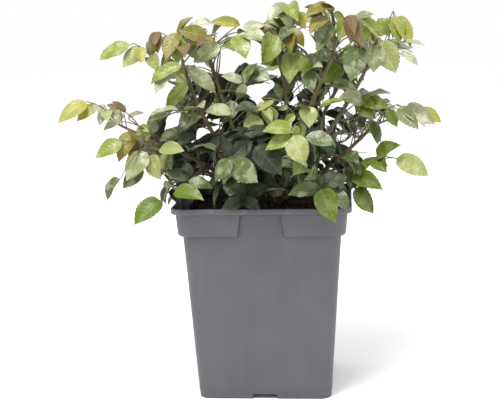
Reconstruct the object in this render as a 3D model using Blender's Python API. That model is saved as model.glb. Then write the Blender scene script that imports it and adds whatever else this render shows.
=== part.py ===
# Potted rose bush: a square nursery pot filled with compost, the grafted stock that stands in it,
# its canes, and one solid of twigs and leaves for each shoot.

import math
import random

import bmesh
import bpy
from mathutils import Matrix, Vector
from mathutils.bvhtree import BVHTree

MM = 0.001

# Gaps between neighbours: in general, past a cane's tip, and from a cane's side, found in two steps
GAP = 0.3 * MM
TIP_GAP = 0.5 * MM
SEAT_GAP = 0.35 * MM
SEAT_STEPS = 2
SEAT_SAMPLES = 8

# Pot: half widths across the flats, and heights above the ground
POT_HEIGHT = 200 * MM
BODY_FOOT_HALF = 67.7 * MM
BODY_TOP_HALF = 81.4 * MM
BAND_LOW_HALF = 84.2 * MM
BAND_HIGH_HALF = 85.8 * MM
LIP_HALF = 90 * MM
BAND_BOTTOM = 170.5 * MM
LIP_BOTTOM = 192.7 * MM
LIP_FACE_BOTTOM = 195 * MM
WALL = 2 * MM
BODY_CORNER = 12 * MM
BAND_CORNER = 14 * MM
LIP_CORNER = 15 * MM
CORNER_STEPS = 3
OVERRUN = 5 * MM

# The recess in the middle of each side of the band, and the foot channel below it
RECESS_HIGH_HALF = 19.7 * MM
RECESS_LOW_HALF = 23.2 * MM
CHANNEL_LOW_HALF = 14.3 * MM
CHANNEL_HIGH_HALF = 11.8 * MM
CHANNEL_HEIGHT = 5 * MM
CHANNEL_END = 36 * MM
DRAIN_RADIUS = 4.5 * MM
DRAIN_PLACE = 44 * MM
DRAIN_SIDES = 10
SIDES = 4

# Compost and stock
SOIL_TOP = 186 * MM
STOCK_FOOT_RADIUS = 14 * MM
STOCK_NECK_RADIUS = 9 * MM
STOCK_SIDES = 8
KNOB_RADIUS = 13.5 * MM
KNOB_HEIGHT = 10 * MM
KNOB_FLATNESS = 0.6
KNOB_RINGS = 5
STUB_LENGTH = 11 * MM
STUB_SINKING = 1.3
STUB_FOOT_RADIUS = 3.9 * MM
STUB_TIP_RADIUS = 3.6 * MM
STUB_SIDES = 5

# Canes
LIMB_STEPS = 6
CANE_FOOT_RADIUS = 3.1 * MM
CANE_TIP_RADIUS = 2.2 * MM
CANE_SIDES = 6
CANE_BEND_PLACE = 0.54

# Shoots: the stem of each mass; a side shoot sets out partly toward its tip and partly away from its cane
SHOOT_FOOT_RADIUS = 1.9 * MM
SHOOT_TIP_RADIUS = 1.1 * MM
SHOOT_STEPS = 4
SHOOT_SIDES = 3
SHOOT_TOWARD_TIP = 0.4
SHOOT_AWAY = 0.2

# Leafstalks: each leaf turns on from the last, opens wide low on the shoot and narrow at its tip
LEAFSTALK_FOOT_RADIUS = 1.3 * MM
LEAFSTALK_TIP_RADIUS = 1.0 * MM
STALK_STEPS = 2
STALK_LENGTH = 58 * MM
STALK_LONGEST = 1.1
STALK_SHORTENING = 0.45
STALK_BEND_PLACE = 0.52
STALK_END_PLACE = 0.94
STALK_HALF_SAG = 0.2
STALK_SAG_LIMIT = 1.3
STALK_FREE_PLACE = 0.12
LEAF_TURN = math.radians(144)
LEAF_FIRST_PLACE = 0.25
LEAF_CROWDING = 0.8
LEAF_OPENING_LOW = 74
LEAF_OPENING_HIGH = 34
LEAF_RISE = Vector((0, 0, 0.45))
LEAF_LEAST_RISE = 0.1
LEAF_LARGEST = 1.1
LEAF_SHRINKING = 0.25

# A leafstalk that is sent to a named place: its usual length, its bend, and the dip of its end leaflet
REACH_LENGTH = 0.8
REACH_BEND = 0.35
REACH_PULL = 0.45
REACH_DROP = 0.16
REACH_PLACES = [place / 8 for place in range(2, 9)]

# Leaflets: shares of their length, and the way their faces turn
LEAFLET_LENGTH = 34 * MM
LEAFLET_WIDTH = 0.72
LEAFLET_FOLD = 0.075
LEAFLET_LOW_PLACE = 0.34
LEAFLET_HIGH_PLACE = 0.68
LEAFLET_HIGH_SHARE = 0.8
LEAFLET_TIP_DROP = 0.7
LEAFLET_OPENING = math.radians(66)
LEAFLET_DIP = 0.2
LEAN_OUTWARD = 0.35
LEAN_TO_LIGHT = Vector((0, -0.4, 0.8))
LEAST_LEAFLETS = 2
ROOT_DEPTH = 0.5 * MM

# Room: what keeps leaves clear of each other and of the pot, and how often a leaf is turned to fit
CLEARANCE = 0.35 * MM
POT_MARGIN = 2 * MM
RETRIES = 5
TRY_TURN = math.radians(26)
LEAF_LOWEST = 172 * MM
CROWN_TOP = 404 * MM

# Ranges of chance: stretch of a leafstalk, its sag, tilt of its blades and size of a leaflet
STRETCHES = (0.9, 1.1)
SAGS = (0.15, 0.5)
TILTS = (-0.35, 0.35)
SIZES = (0.9, 1.1)

# A leaf's five leaflets: place along the stalk, side of it, and size against the end leaflet;
# a shoot's first and last leaf have three
LEAFLETS = ((1, 0, 1), (0.7, 1, 0.92), (0.7, -1, 0.92), (0.36, 1, 0.8), (0.36, -1, 0.8))
END_LEAFLETS = 3

# Canes rise from the stock: foot beside the stock's middle, a point half way, and the tip, in millimetres
CANES = {
    "cane_left": ((-8, 1), (-55, -14, 272), (-81, -20, 340)),
    "cane_left_back": ((-6, 5), (-36, 8, 278), (-56, 14, 340)),
    "cane_middle": ((4, 3), (22, 6, 272), (16, 12, 338)),
    "cane_right": ((9, -4), (42, -14, 278), (70, -26, 342)),
    "cane_far_right": ((12, 3), (64, 6, 262), (104, 12, 326)),
    "cane_low_left": ((-14, -6), (-62, -18, 236), (-122, -32, 268)),
    "cane_low_right": ((13, -4), (60, -8, 226), (106, -6, 266)),
    "cane_front_right": ((4, -10), (22, -44, 234), (44, -74, 276)),
    "cane_front_left": ((-5, -10), (-24, -40, 226), (-40, -72, 252)),
    "cane_back_left": ((-7, 11), (-34, 52, 252), (-58, 84, 312)),
    "cane_back": ((1, 12), (10, 60, 250), (22, 104, 302)),
    "cane_back_right": ((9, 9), (44, 46, 252), (78, 76, 312)),
}

# Each shoot: the limb that carries it, its place along that limb (1 is the tip), its tip in millimetres,
# the number of leaves, their size against a full leaf, and the turn of the first leaf in degrees
SHOOTS = {
    "leaves_left_top": ("cane_left", 1, (-78, -16, 364), 4, 0.95, 50),
    "leaves_left_top_side": ("cane_left", 0.82, (-108, -30, 344), 3, 1.0, 10),
    "leaves_left_back_top": ("cane_left_back", 1, (-50, 22, 360), 4, 1.0, 40),
    "leaves_middle_top": ("cane_middle", 1, (22, 16, 366), 5, 0.95, 200),
    "leaves_right_top": ("cane_right", 1, (74, -28, 370), 5, 0.95, 60),
    "leaves_far_right_top": ("cane_far_right", 1, (130, 14, 356), 4, 1.0, 30),
    "leaves_low_left_tip": ("cane_low_left", 1, (-160, -36, 288), 4, 0.9, 150),
    "leaves_low_right_tip": ("cane_low_right", 1, (140, -4, 280), 4, 0.95, 100),
    "leaves_front_right_top": ("cane_front_right", 1, (50, -88, 286), 4, 1.0, 30),
    "leaves_front_left_top": ("cane_front_left", 1, (-44, -88, 262), 4, 1.0, 0),
    "leaves_back_left_top": ("cane_back_left", 1, (-66, 100, 332), 3, 1.15, 0),
    "leaves_back_top": ("cane_back", 1, (24, 122, 322), 3, 1.15, 0),
    "leaves_back_right_top": ("cane_back_right", 1, (88, 92, 330), 3, 1.15, 0),
    "leaves_low_left_side": ("cane_low_left", 0.8, (-118, -62, 258), 4, 0.95, 0),
    "leaves_low_left_foot": ("cane_low_left", 0.45, (-100, -52, 220), 4, 0.95, 300),
    "leaves_low_right_side": ("cane_low_right", 0.7, (116, -34, 240), 3, 1.0, 0),
    "leaves_low_right_foot": ("cane_low_right", 0.4, (84, -54, 222), 3, 0.95, 0),
    "leaves_front_right_side": ("cane_front_right", 0.5, (56, -78, 226), 4, 1.0, 0),
    "leaves_front_left_side": ("cane_front_left", 0.5, (-66, -62, 224), 3, 0.95, 0),
    "leaves_left_side": ("cane_left", 0.5, (-78, -38, 290), 4, 1.0, 0),
    "leaves_left_back_side": ("cane_left_back", 0.55, (-86, 44, 296), 3, 1.05, 0),
    "leaves_middle_side": ("cane_middle", 0.6, (2, -34, 304), 4, 1.0, 0),
    "leaves_right_side": ("cane_right", 0.6, (66, -56, 314), 4, 1.0, 0),
    "leaves_far_right_side": ("cane_far_right", 0.6, (108, 36, 288), 3, 1.05, 0),
    "leaves_back_left_side": ("cane_back_left", 0.45, (-94, 66, 252), 3, 1.1, 0),
    "leaves_back_side": ("cane_back", 0.5, (-6, 104, 254), 3, 1.1, 0),
    "leaves_back_right_side": ("cane_back_right", 0.5, (90, 78, 254), 3, 1.1, 0),
    "leaves_left_back_front": ("cane_left_back", 0.7, (-22, -18, 308), 4, 1.0, 60),
    "leaves_middle_low": ("cane_middle", 0.2, (10, -40, 240), 3, 1.0, 0),
    "leaves_left_low": ("cane_left", 0.15, (-40, -34, 236), 3, 0.95, 0),
    "leaves_right_low": ("cane_right", 0.2, (60, -40, 254), 3, 1.0, 0),
    "leaves_front_left_low": ("cane_front_left", 0.15, (-8, -66, 212), 3, 0.9, 40),
    "leaves_front_right_low": ("cane_front_right", 0.15, (30, -62, 212), 3, 0.9, 0),
    "leaves_back_left_low": ("cane_left_back", 0.2, (-52, 34, 240), 3, 1.0, 0),
    "leaves_back_right_low": ("cane_far_right", 0.25, (70, 40, 240), 3, 1.0, 0),
    "leaves_back_low": ("cane_back", 0.2, (4, 70, 220), 3, 1.1, 0),
    "leaves_back_left_foot": ("cane_back_left", 0.2, (-66, 72, 214), 3, 1.1, 40),
    "leaves_back_right_foot": ("cane_back_right", 0.2, (62, 70, 216), 3, 1.1, 0),
}

# Leaves that carry the crown to its furthest places: where the end leaflet's tip comes, in millimetres
REACHES = {
    "leaves_low_left_tip": [(-209, -34, 286)],
    "leaves_left_top_side": [(-165, -24, 347)],
    "leaves_low_left_foot": [(-128, -62, 185), (-84, -84, 210)],
    "leaves_low_left_side": [(-167, -48, 251), (-135, -66, 226)],
    "leaves_left_back_top": [(-24, 14, 382)],
    "leaves_middle_top": [(21, 5, 401)],
    "leaves_right_top": [(56, -30, 399), (102, -12, 360)],
    "leaves_far_right_top": [(155, 16, 382), (167, 20, 354)],
    "leaves_low_right_tip": [(180, 0, 279)],
    "leaves_low_right_side": [(168, -22, 224)],
    "leaves_low_right_foot": [(114, -42, 190)],
    "leaves_front_right_side": [(72, -106, 191), (32, -100, 220)],
    "leaves_front_right_top": [(47, -116, 248)],
    "leaves_front_left_low": [(-27, -92, 230), (-3, -92, 227)],
    "leaves_middle_side": [(42, -24, 321)],
}

COLOURS = {
    "pot": (0.155, 0.150, 0.165),
    "soil": (0.030, 0.020, 0.014),
    "wood": (0.140, 0.085, 0.040),
    "cane": (0.130, 0.130, 0.045),
    "leaves": (0.085, 0.145, 0.035),
}
ROUGHNESS = {"pot": 0.5, "soil": 0.95, "wood": 0.8, "cane": 0.6, "leaves": 0.45}


def clear_scene():
    for item in list(bpy.data.objects):
        bpy.data.objects.remove(item, do_unlink=True)


def new_collection(name):
    collection = bpy.data.collections.new(name)
    bpy.context.scene.collection.children.link(collection)
    return collection


def new_object(name, mesh, collection):
    data = bpy.data.meshes.new(name)
    mesh.to_mesh(data)
    mesh.free()
    item = bpy.data.objects.new(name, data)
    collection.objects.link(item)
    return item


def new_material(name):
    material = bpy.data.materials.new(name)
    material.use_nodes = True
    shader = material.node_tree.nodes["Principled BSDF"]
    shader.inputs["Base Color"].default_value = (*COLOURS[name], 1)
    shader.inputs["Roughness"].default_value = ROUGHNESS[name]
    shader.inputs["Metallic"].default_value = 0
    return material


def finish(item, material, plant):
    item.data.materials.clear()
    item.data.materials.append(material)
    item.parent = plant


def hide_cutter(item):
    item.hide_render = True
    item.display_type = "WIRE"


def combine(item, others, operation, cutters):
    # Boolean with a collection of operands, applied, after which the operands are removed
    group = bpy.data.collections.new("operands")
    cutters.children.link(group)
    for other in others:
        for owner in list(other.users_collection):
            owner.objects.unlink(other)
        group.objects.link(other)
        hide_cutter(other)
    modifier = item.modifiers.new("combine", "BOOLEAN")
    modifier.operation = operation
    modifier.operand_type = "COLLECTION"
    modifier.collection = group
    apply_modifiers(item)
    for other in others:
        bpy.data.objects.remove(other, do_unlink=True)
    bpy.data.collections.remove(group)
    return item


def apply_modifiers(item):
    graph = bpy.context.evaluated_depsgraph_get()
    data = bpy.data.meshes.new_from_object(item.evaluated_get(graph))
    item.modifiers.clear()
    item.data = data


def square_block(name, low, high, low_half, high_half, corner, collection):
    # A square block that tapers from one height to another, with rounded upright edges
    mesh = bmesh.new()
    bmesh.ops.create_cube(mesh, size=2)
    for vertex in mesh.verts:
        upper = vertex.co.z > 0
        half = high_half if upper else low_half
        vertex.co = (vertex.co.x * half, vertex.co.y * half, high if upper else low)
    upright = [edge for edge in mesh.edges if abs(edge.verts[0].co.z - edge.verts[1].co.z) > MM]
    bmesh.ops.bevel(mesh, geom=upright, offset=corner, segments=CORNER_STEPS, profile=0.5, affect="EDGES")
    return new_object(name, mesh, collection)


def side_block(name, side, low, high, low_half, high_half, near, far, collection):
    # A block in the middle of one side of the pot, narrower above, from near to far from the middle
    mesh = bmesh.new()
    bmesh.ops.create_cube(mesh, size=2)
    for vertex in mesh.verts:
        upper = vertex.co.z > 0
        half = high_half if upper else low_half
        reach = far if vertex.co.y > 0 else near[upper]
        vertex.co = (vertex.co.x * half, reach, high if upper else low)
    bmesh.ops.transform(mesh, matrix=Matrix.Rotation(side * math.tau / SIDES, 4, "Z"), verts=mesh.verts)
    return new_object(name, mesh, collection)


def body_half(height):
    return BODY_FOOT_HALF + (BODY_TOP_HALF - BODY_FOOT_HALF) * height / POT_HEIGHT


def pot_shape(name, inset, floor, top, cutters):
    # The pot's outline drawn in by an inset: none outside, the wall inside, and a gap more for compost
    body = square_block(name, floor, top, body_half(floor) - inset, body_half(top) - inset,
                        BODY_CORNER - inset, cutters)
    band = square_block("band", BAND_BOTTOM + inset, LIP_FACE_BOTTOM, BAND_LOW_HALF - inset,
                        BAND_HIGH_HALF - inset, BAND_CORNER - inset, cutters)
    low = BAND_BOTTOM - OVERRUN
    recesses = [
        side_block("recess", side, low, LIP_FACE_BOTTOM + OVERRUN, RECESS_LOW_HALF + inset,
                   RECESS_HIGH_HALF + inset, (body_half(low) - inset, body_half(LIP_FACE_BOTTOM) - inset),
                   LIP_HALF, cutters)
        for side in range(SIDES)
    ]
    combine(band, recesses, "DIFFERENCE", cutters)
    slope = square_block("lip_slope", LIP_BOTTOM + inset, LIP_FACE_BOTTOM + inset, BAND_HIGH_HALF - inset,
                         LIP_HALF - inset, LIP_CORNER - inset, cutters)
    lip = square_block("lip", LIP_FACE_BOTTOM + inset, top, LIP_HALF - inset, LIP_HALF - inset,
                       LIP_CORNER - inset, cutters)
    return combine(body, [band, slope, lip], "UNION", cutters)


def channel_blocks(grow, outside, cutters):
    return [
        side_block("channel", side, -OVERRUN, CHANNEL_HEIGHT + grow, CHANNEL_LOW_HALF + grow,
                   CHANNEL_HIGH_HALF + grow, (CHANNEL_END - grow, CHANNEL_END - grow), outside, cutters)
        for side in range(SIDES)
    ]


def drain_cutters(cutters):
    drains = []
    middle = CHANNEL_HEIGHT + WALL / 2
    for side in range(SIDES):
        mesh = bmesh.new()
        bmesh.ops.create_cone(mesh, cap_ends=True, segments=DRAIN_SIDES, radius1=DRAIN_RADIUS,
                              radius2=DRAIN_RADIUS, depth=CHANNEL_HEIGHT)
        drain = new_object("drain", mesh, cutters)
        angle = side * math.tau / SIDES
        drain.location = (-DRAIN_PLACE * math.sin(angle), DRAIN_PLACE * math.cos(angle), middle)
        drains.append(drain)
    return drains


def build_pot(parts, cutters):
    pot = pot_shape("pot", 0, 0, POT_HEIGHT, cutters)
    cavity = pot_shape("cavity", WALL, WALL, POT_HEIGHT + OVERRUN, cutters)
    combine(cavity, channel_blocks(WALL, LIP_HALF, cutters), "DIFFERENCE", cutters)
    combine(pot, [cavity], "DIFFERENCE", cutters)
    combine(pot, channel_blocks(0, LIP_HALF, cutters), "DIFFERENCE", cutters)
    combine(pot, drain_cutters(cutters), "DIFFERENCE", cutters)
    move_to(pot, parts)
    return pot


def build_soil(parts, cutters):
    inset = WALL + GAP
    soil = pot_shape("soil", inset, inset, POT_HEIGHT + OVERRUN, cutters)
    above = square_block("above", SOIL_TOP, POT_HEIGHT + 2 * OVERRUN, LIP_HALF * 2, LIP_HALF * 2,
                         BODY_CORNER, cutters)
    combine(soil, [above] + channel_blocks(inset, LIP_HALF, cutters), "DIFFERENCE", cutters)
    move_to(soil, parts)
    return soil


def move_to(item, collection):
    for owner in list(item.users_collection):
        owner.objects.unlink(item)
    collection.objects.link(item)


class Arc:
    # A bent line through a start, a point half way and a tip
    def __init__(self, start, middle, tip):
        self.start = start
        self.tip = tip
        self.pull = 2 * middle - (start + tip) / 2

    def point(self, share):
        rest = 1 - share
        return self.start * rest ** 2 + self.pull * (2 * rest * share) + self.tip * share ** 2

    def heading(self, share):
        return ((self.pull - self.start) * (1 - share) + (self.tip - self.pull) * share).normalized()

    def points(self, steps):
        return [self.point(step / steps) for step in range(steps + 1)]

    def chord_point(self, share, steps):
        # The place on the straight pieces that stand for the arc
        step = min(int(share * steps), steps - 1)
        return self.point(step / steps).lerp(self.point((step + 1) / steps), share * steps - step)


def tube(name, points, foot_radius, tip_radius, sides, collection):
    # A tapering tube along points; its caps are flat and its sides are given by a bevel profile
    profile_curve = bpy.data.curves.new("profile", "CURVE")
    ring = profile_curve.splines.new("POLY")
    ring.points.add(sides - 1)
    ring.use_cyclic_u = True
    for index, point in enumerate(ring.points):
        angle = math.tau * (index / sides + 0.25)
        point.co = (math.cos(angle), math.sin(angle), 0, 1)
    profile = bpy.data.objects.new("profile", profile_curve)
    curve = bpy.data.curves.new(name, "CURVE")
    curve.dimensions = "3D"
    curve.bevel_mode = "OBJECT"
    curve.bevel_object = profile
    curve.use_fill_caps = True
    line = curve.splines.new("POLY")
    line.points.add(len(points) - 1)
    for index, point in enumerate(points):
        share = index / (len(points) - 1)
        line.points[index].co = (*point, 1)
        line.points[index].radius = foot_radius + (tip_radius - foot_radius) * share
    guide = bpy.data.objects.new(name, curve)
    collection.objects.link(profile)
    collection.objects.link(guide)
    graph = bpy.context.evaluated_depsgraph_get()
    data = bpy.data.meshes.new_from_object(guide.evaluated_get(graph))
    bpy.data.objects.remove(guide, do_unlink=True)
    bpy.data.objects.remove(profile, do_unlink=True)
    mesh = bmesh.new()
    mesh.from_mesh(data)
    bmesh.ops.remove_doubles(mesh, verts=mesh.verts, dist=0.01 * MM)
    bmesh.ops.recalc_face_normals(mesh, faces=mesh.faces)
    return new_object(name, mesh, collection)


def in_metres(place):
    return Vector(place) * MM


def build_limbs(parts, plant, material):
    # Every cane starts at a stub of the stock; the arcs are kept so that shoots can find their place
    arcs = {}
    limbs = {}
    for name, (foot, middle, tip) in CANES.items():
        start = in_metres((*foot, 0)) + Vector((0, 0, SOIL_TOP + GAP + KNOB_HEIGHT))
        full = Arc(start, in_metres(middle), in_metres(tip))
        heading = full.heading(0)
        arc = Arc(start + heading * (STUB_LENGTH + GAP), full.point(CANE_BEND_PLACE), full.tip)
        limb = tube(name, arc.points(LIMB_STEPS), CANE_FOOT_RADIUS, CANE_TIP_RADIUS, CANE_SIDES, parts)
        finish(limb, material, plant)
        arcs[name] = arc
        limbs[name] = limb
    return arcs, limbs


def build_stock(parts, cutters, arcs):
    # A short stem with a swollen graft, and a stub where each cane starts
    foot = SOIL_TOP + GAP
    mesh = bmesh.new()
    bmesh.ops.create_cone(mesh, cap_ends=True, segments=STOCK_SIDES, radius1=STOCK_FOOT_RADIUS,
                          radius2=STOCK_NECK_RADIUS, depth=KNOB_HEIGHT)
    bmesh.ops.translate(mesh, vec=(0, 0, foot + KNOB_HEIGHT / 2), verts=mesh.verts)
    stock = new_object("graft_stock", mesh, parts)
    mesh = bmesh.new()
    bmesh.ops.create_uvsphere(mesh, u_segments=STOCK_SIDES, v_segments=KNOB_RINGS, radius=KNOB_RADIUS)
    bmesh.ops.scale(mesh, vec=(1, 1, KNOB_FLATNESS), verts=mesh.verts)
    bmesh.ops.translate(mesh, vec=(0, 0, foot + KNOB_HEIGHT), verts=mesh.verts)
    pieces = [new_object("knob", mesh, cutters)]
    for arc in arcs.values():
        heading = arc.heading(0)
        end = arc.start - heading * GAP
        start = end - heading * STUB_LENGTH * STUB_SINKING
        pieces.append(tube("stub", [start, end], STUB_FOOT_RADIUS, STUB_TIP_RADIUS, STUB_SIDES, cutters))
    return combine(stock, pieces, "UNION", cutters)


def leaflet_outline(root, forward, normal, length):
    # Six points: the base, two on each edge and the tip; the edges rise from the midrib and the tip dips
    side = forward.cross(normal).normalized()
    half = length * LEAFLET_WIDTH / 2
    lift = normal * length * LEAFLET_FOLD
    base = root - forward * ROOT_DEPTH
    low = root + forward * length * LEAFLET_LOW_PLACE + lift
    high = root + forward * length * LEAFLET_HIGH_PLACE + lift * LEAFLET_HIGH_SHARE
    tip = root + forward * length - lift * LEAFLET_TIP_DROP
    narrow = half * LEAFLET_HIGH_SHARE
    return [base, low + side * half, high + side * narrow, tip, high - side * narrow, low - side * half]


def swollen(outline, normal):
    # The outline a little larger and with a thickness, to keep a clear space round a leaflet
    middle = sum(outline, Vector()) / len(outline)
    points = []
    for point in outline:
        away = (point - middle).normalized() * CLEARANCE
        points += [point + away + normal * CLEARANCE, point + away - normal * CLEARANCE]
    return points


def hull_mesh(points):
    mesh = bmesh.new()
    for point in points:
        mesh.verts.new(point)
    bmesh.ops.convex_hull(mesh, input=mesh.verts)
    return mesh


class Space:
    # What already stands, so that a twig or leaflet that would touch another piece can be skipped
    def __init__(self):
        self.fixed = []
        self.loose = []

    def add_solid(self, item):
        self.fixed.append(solid_tree(item))

    def tree(self, points):
        mesh = hull_mesh(points)
        tree = BVHTree.FromBMesh(mesh)
        mesh.free()
        return tree

    def clear(self, points, owner, blade=False):
        middle = sum(points, Vector()) / len(points)
        reach = max((point - middle).length for point in points)
        tree = self.tree(points)
        if any(tree.overlap(solid) for solid in self.fixed):
            return False
        return not any(
            (other != owner or blade) and (place - middle).length < reach + size and tree.overlap(taken)
            for other, place, size, taken in self.loose
        )

    def take(self, points, owner):
        middle = sum(points, Vector()) / len(points)
        reach = max((point - middle).length for point in points)
        self.loose.append((owner, middle, reach, self.tree(points)))


def stalk_points(arc, start, end, radius):
    # The corners of a stretch of twig, a little thicker than the twig
    heading = (arc.point(end) - arc.point(start)).normalized()
    side = heading.orthogonal().normalized() * (radius + CLEARANCE)
    other = heading.cross(side)
    return [arc.point(share) + offset for share in (start, end) for offset in (side, other, -side, -other)]


def inside_room(points):
    # Above the compost, under the crown's top, and not below the pot's band
    for point in points:
        over_pot = max(abs(point.x), abs(point.y)) < LIP_HALF + POT_MARGIN
        lowest = SOIL_TOP + POT_MARGIN if over_pot else LEAF_LOWEST
        if not lowest < point.z < CROWN_TOP:
            return False
    return True


def rule_arc(shoot, share, number, size, turn, attempt, sag, stretch):
    # A leafstalk that leaves the shoot at the next turn of the rule, rises a little and sags
    place = LEAF_FIRST_PLACE + (1 - LEAF_FIRST_PLACE) * share ** LEAF_CROWDING
    heading = shoot.heading(place)
    outward = Vector((shoot.tip.x, shoot.tip.y, 0))
    across = (outward - heading * outward.dot(heading)).normalized()
    opening = math.radians(LEAF_OPENING_LOW + (LEAF_OPENING_HIGH - LEAF_OPENING_LOW) * share)
    length = STALK_LENGTH * size * (STALK_LONGEST - STALK_SHORTENING * share) * stretch
    angle = math.radians(turn) + number * LEAF_TURN + attempt * TRY_TURN
    spread = Matrix.Rotation(angle, 3, heading) @ across
    direction = heading * math.cos(opening) + spread * math.sin(opening) + LEAF_RISE
    direction.z = max(direction.z, LEAF_LEAST_RISE)
    direction.normalize()
    root = shoot.chord_point(place, SHOOT_STEPS) - direction * ROOT_DEPTH
    sink = Vector((0, 0, sag * (STALK_SAG_LIMIT - share) * length))
    middle = root + direction * length * STALK_BEND_PLACE - sink * STALK_HALF_SAG
    return Arc(root, middle, root + direction * length * STALK_END_PLACE - sink)


def reaching_arc(shoot, target, size):
    # A leafstalk from the place on the shoot that suits its length, bent over toward the target
    leaflet = LEAFLET_LENGTH * size
    wanted = STALK_LENGTH * size * REACH_LENGTH + leaflet
    root = min((shoot.chord_point(place, SHOOT_STEPS) for place in REACH_PLACES),
               key=lambda point: abs((target - point).length - wanted))
    heading = ((target - root).normalized() - Vector((0, 0, REACH_BEND))).normalized()
    end = target - heading * leaflet + Vector((0, 0, leaflet * REACH_DROP))
    pull = end - heading * (end - root).length * REACH_PULL
    root = root - (pull - root).normalized() * ROOT_DEPTH
    return Arc(root, (root + pull * 2 + end) / 4, end)


def grow_leaf(name, shoot, number, count, size, turn, space, dice):
    # One compound leaf: its stalk, with a pair of leaflets twice and one at its end
    targets = REACHES.get(name, [])
    share = (number + 0.5) / count
    stretch = dice.uniform(*STRETCHES)
    sag = dice.uniform(*SAGS)
    tilt = dice.uniform(*TILTS)
    sizes = [dice.uniform(*SIZES) for _ in LEAFLETS]
    for attempt in range(RETRIES):
        if number < len(targets) and attempt == 0:
            arc = reaching_arc(shoot, in_metres(targets[number]), size)
            scale = size
        else:
            arc = rule_arc(shoot, share, number, size, turn, attempt, sag, stretch)
            scale = size * (LEAF_LARGEST - LEAF_SHRINKING * share)
        leaflets = leaflets_of(arc, scale, tilt, sizes)
        if number in (0, count - 1):
            leaflets = leaflets[:END_LEAFLETS]
        stretches = [stalk_points(arc, STALK_FREE_PLACE, 0.5, LEAFSTALK_FOOT_RADIUS),
                     stalk_points(arc, 0.5, 1, LEAFSTALK_TIP_RADIUS)]
        if not all(inside_room(stretch) and space.clear(stretch, name) for stretch in stretches):
            continue
        kept = [
            (outline, normal) for outline, normal in leaflets
            if inside_room(outline) and space.clear(swollen(outline, normal), name, True)
        ]
        if len(kept) < LEAST_LEAFLETS:
            continue
        for stretch in stretches:
            space.take(stretch, name)
        for outline, normal in kept:
            space.take(outline, name)
        return arc, [outline for outline, _ in kept]
    return None


def leaflets_of(arc, size, tilt, sizes):
    # The blades turn their faces up, outward and toward the light in front
    outward = Vector((arc.start.x, arc.start.y, 0)).normalized()
    facing = LEAN_TO_LIGHT + outward * LEAN_OUTWARD
    leaflets = []
    for index, (place, side, scale) in enumerate(LEAFLETS):
        heading = arc.heading(place)
        across = Matrix.Rotation(tilt, 3, heading) @ heading.cross(facing).normalized()
        normal = across.cross(heading)
        forward = heading * math.cos(side * LEAFLET_OPENING) + across * math.sin(side * LEAFLET_OPENING)
        forward = (forward - normal * LEAFLET_DIP).normalized()
        normal = (normal - forward * normal.dot(forward)).normalized()
        length = LEAFLET_LENGTH * size * scale * sizes[index]
        root = arc.chord_point(place, STALK_STEPS)
        leaflets.append((leaflet_outline(root, forward, normal, length), normal))
    return leaflets


def shoot_arc(limb, place, tip):
    # The line of a shoot that starts at a limb's tip, or at its side by the limb's radius
    heading = limb.heading(place)
    if place == 1:
        start = limb.tip + heading * TIP_GAP
        return Arc(start, start + (heading * (tip - start).length + tip - start) / 4, tip), heading
    base = limb.chord_point(place, LIMB_STEPS)
    away = tip - base
    away = (away - heading * away.dot(heading)).normalized()
    onward = (tip - base) * SHOOT_TOWARD_TIP + away * (tip - base).length * SHOOT_AWAY
    start = base + away * (CANE_FOOT_RADIUS + (CANE_TIP_RADIUS - CANE_FOOT_RADIUS) * place + GAP)
    return Arc(start, start + onward, tip), away


def stem_tube(name, arc, collection):
    points = arc.points(SHOOT_STEPS)
    return tube(name, points, SHOOT_FOOT_RADIUS, SHOOT_TIP_RADIUS, SHOOT_SIDES, collection)


def seat_shoot(arc, away, solid):
    # The shoot's foot moved along its way until its nearest corner is the wanted gap from the limb
    tree = solid_tree(solid)
    shares = [part / SEAT_SAMPLES for part in range(SEAT_SAMPLES + 1)]
    for _ in range(SEAT_STEPS):
        stem = stem_tube("foot", arc, bpy.context.collection)
        corners = [vertex.co for vertex in stem.data.vertices]
        sides = [(corners[edge.vertices[0]], corners[edge.vertices[1]]) for edge in stem.data.edges]
        gap = min(signed_gap(tree, one.lerp(two, share)) for one, two in sides for share in shares)
        bpy.data.objects.remove(stem, do_unlink=True)
        start = arc.start + away * (SEAT_GAP - gap)
        arc = Arc(start, arc.point(0.5) + (start - arc.start) * 0.5, arc.tip)
    return arc


def signed_gap(tree, point):
    nearest, normal, _, distance = tree.find_nearest(point)
    return -distance if (point - nearest).dot(normal) < 0 else distance


def solid_tree(item):
    mesh = bmesh.new()
    mesh.from_mesh(item.data)
    bmesh.ops.triangulate(mesh, faces=mesh.faces)
    tree = BVHTree.FromBMesh(mesh)
    mesh.free()
    return tree


def build_stem(name, carrier, place, tip, arcs, limbs, space, parts):
    # A shoot's stem, seated on its limb, with its own space taken
    arc, away = shoot_arc(arcs[carrier], place, in_metres(tip))
    arc = seat_shoot(arc, away, limbs[carrier])
    stem = stem_tube(name, arc, parts)
    for step in range(SHOOT_STEPS):
        space.take(stalk_points(arc, step / SHOOT_STEPS, (step + 1) / SHOOT_STEPS, SHOOT_FOOT_RADIUS), name)
    return stem, arc


def dress_mass(name, stem, shoot, count, size, turn, space, dice, cutters):
    # The stem joined with its leafstalks and leaflets
    pieces = []
    for number in range(count):
        leaf = grow_leaf(name, shoot, number, count, size, turn, space, dice)
        if leaf is None:
            continue
        arc, outlines = leaf
        pieces.append(tube("stalk", arc.points(STALK_STEPS), LEAFSTALK_FOOT_RADIUS, LEAFSTALK_TIP_RADIUS,
                           SHOOT_SIDES, cutters))
        pieces += [new_object("leaflet", hull_mesh(outline), cutters) for outline in outlines]
    return combine(stem, pieces, "UNION", cutters)


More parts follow.
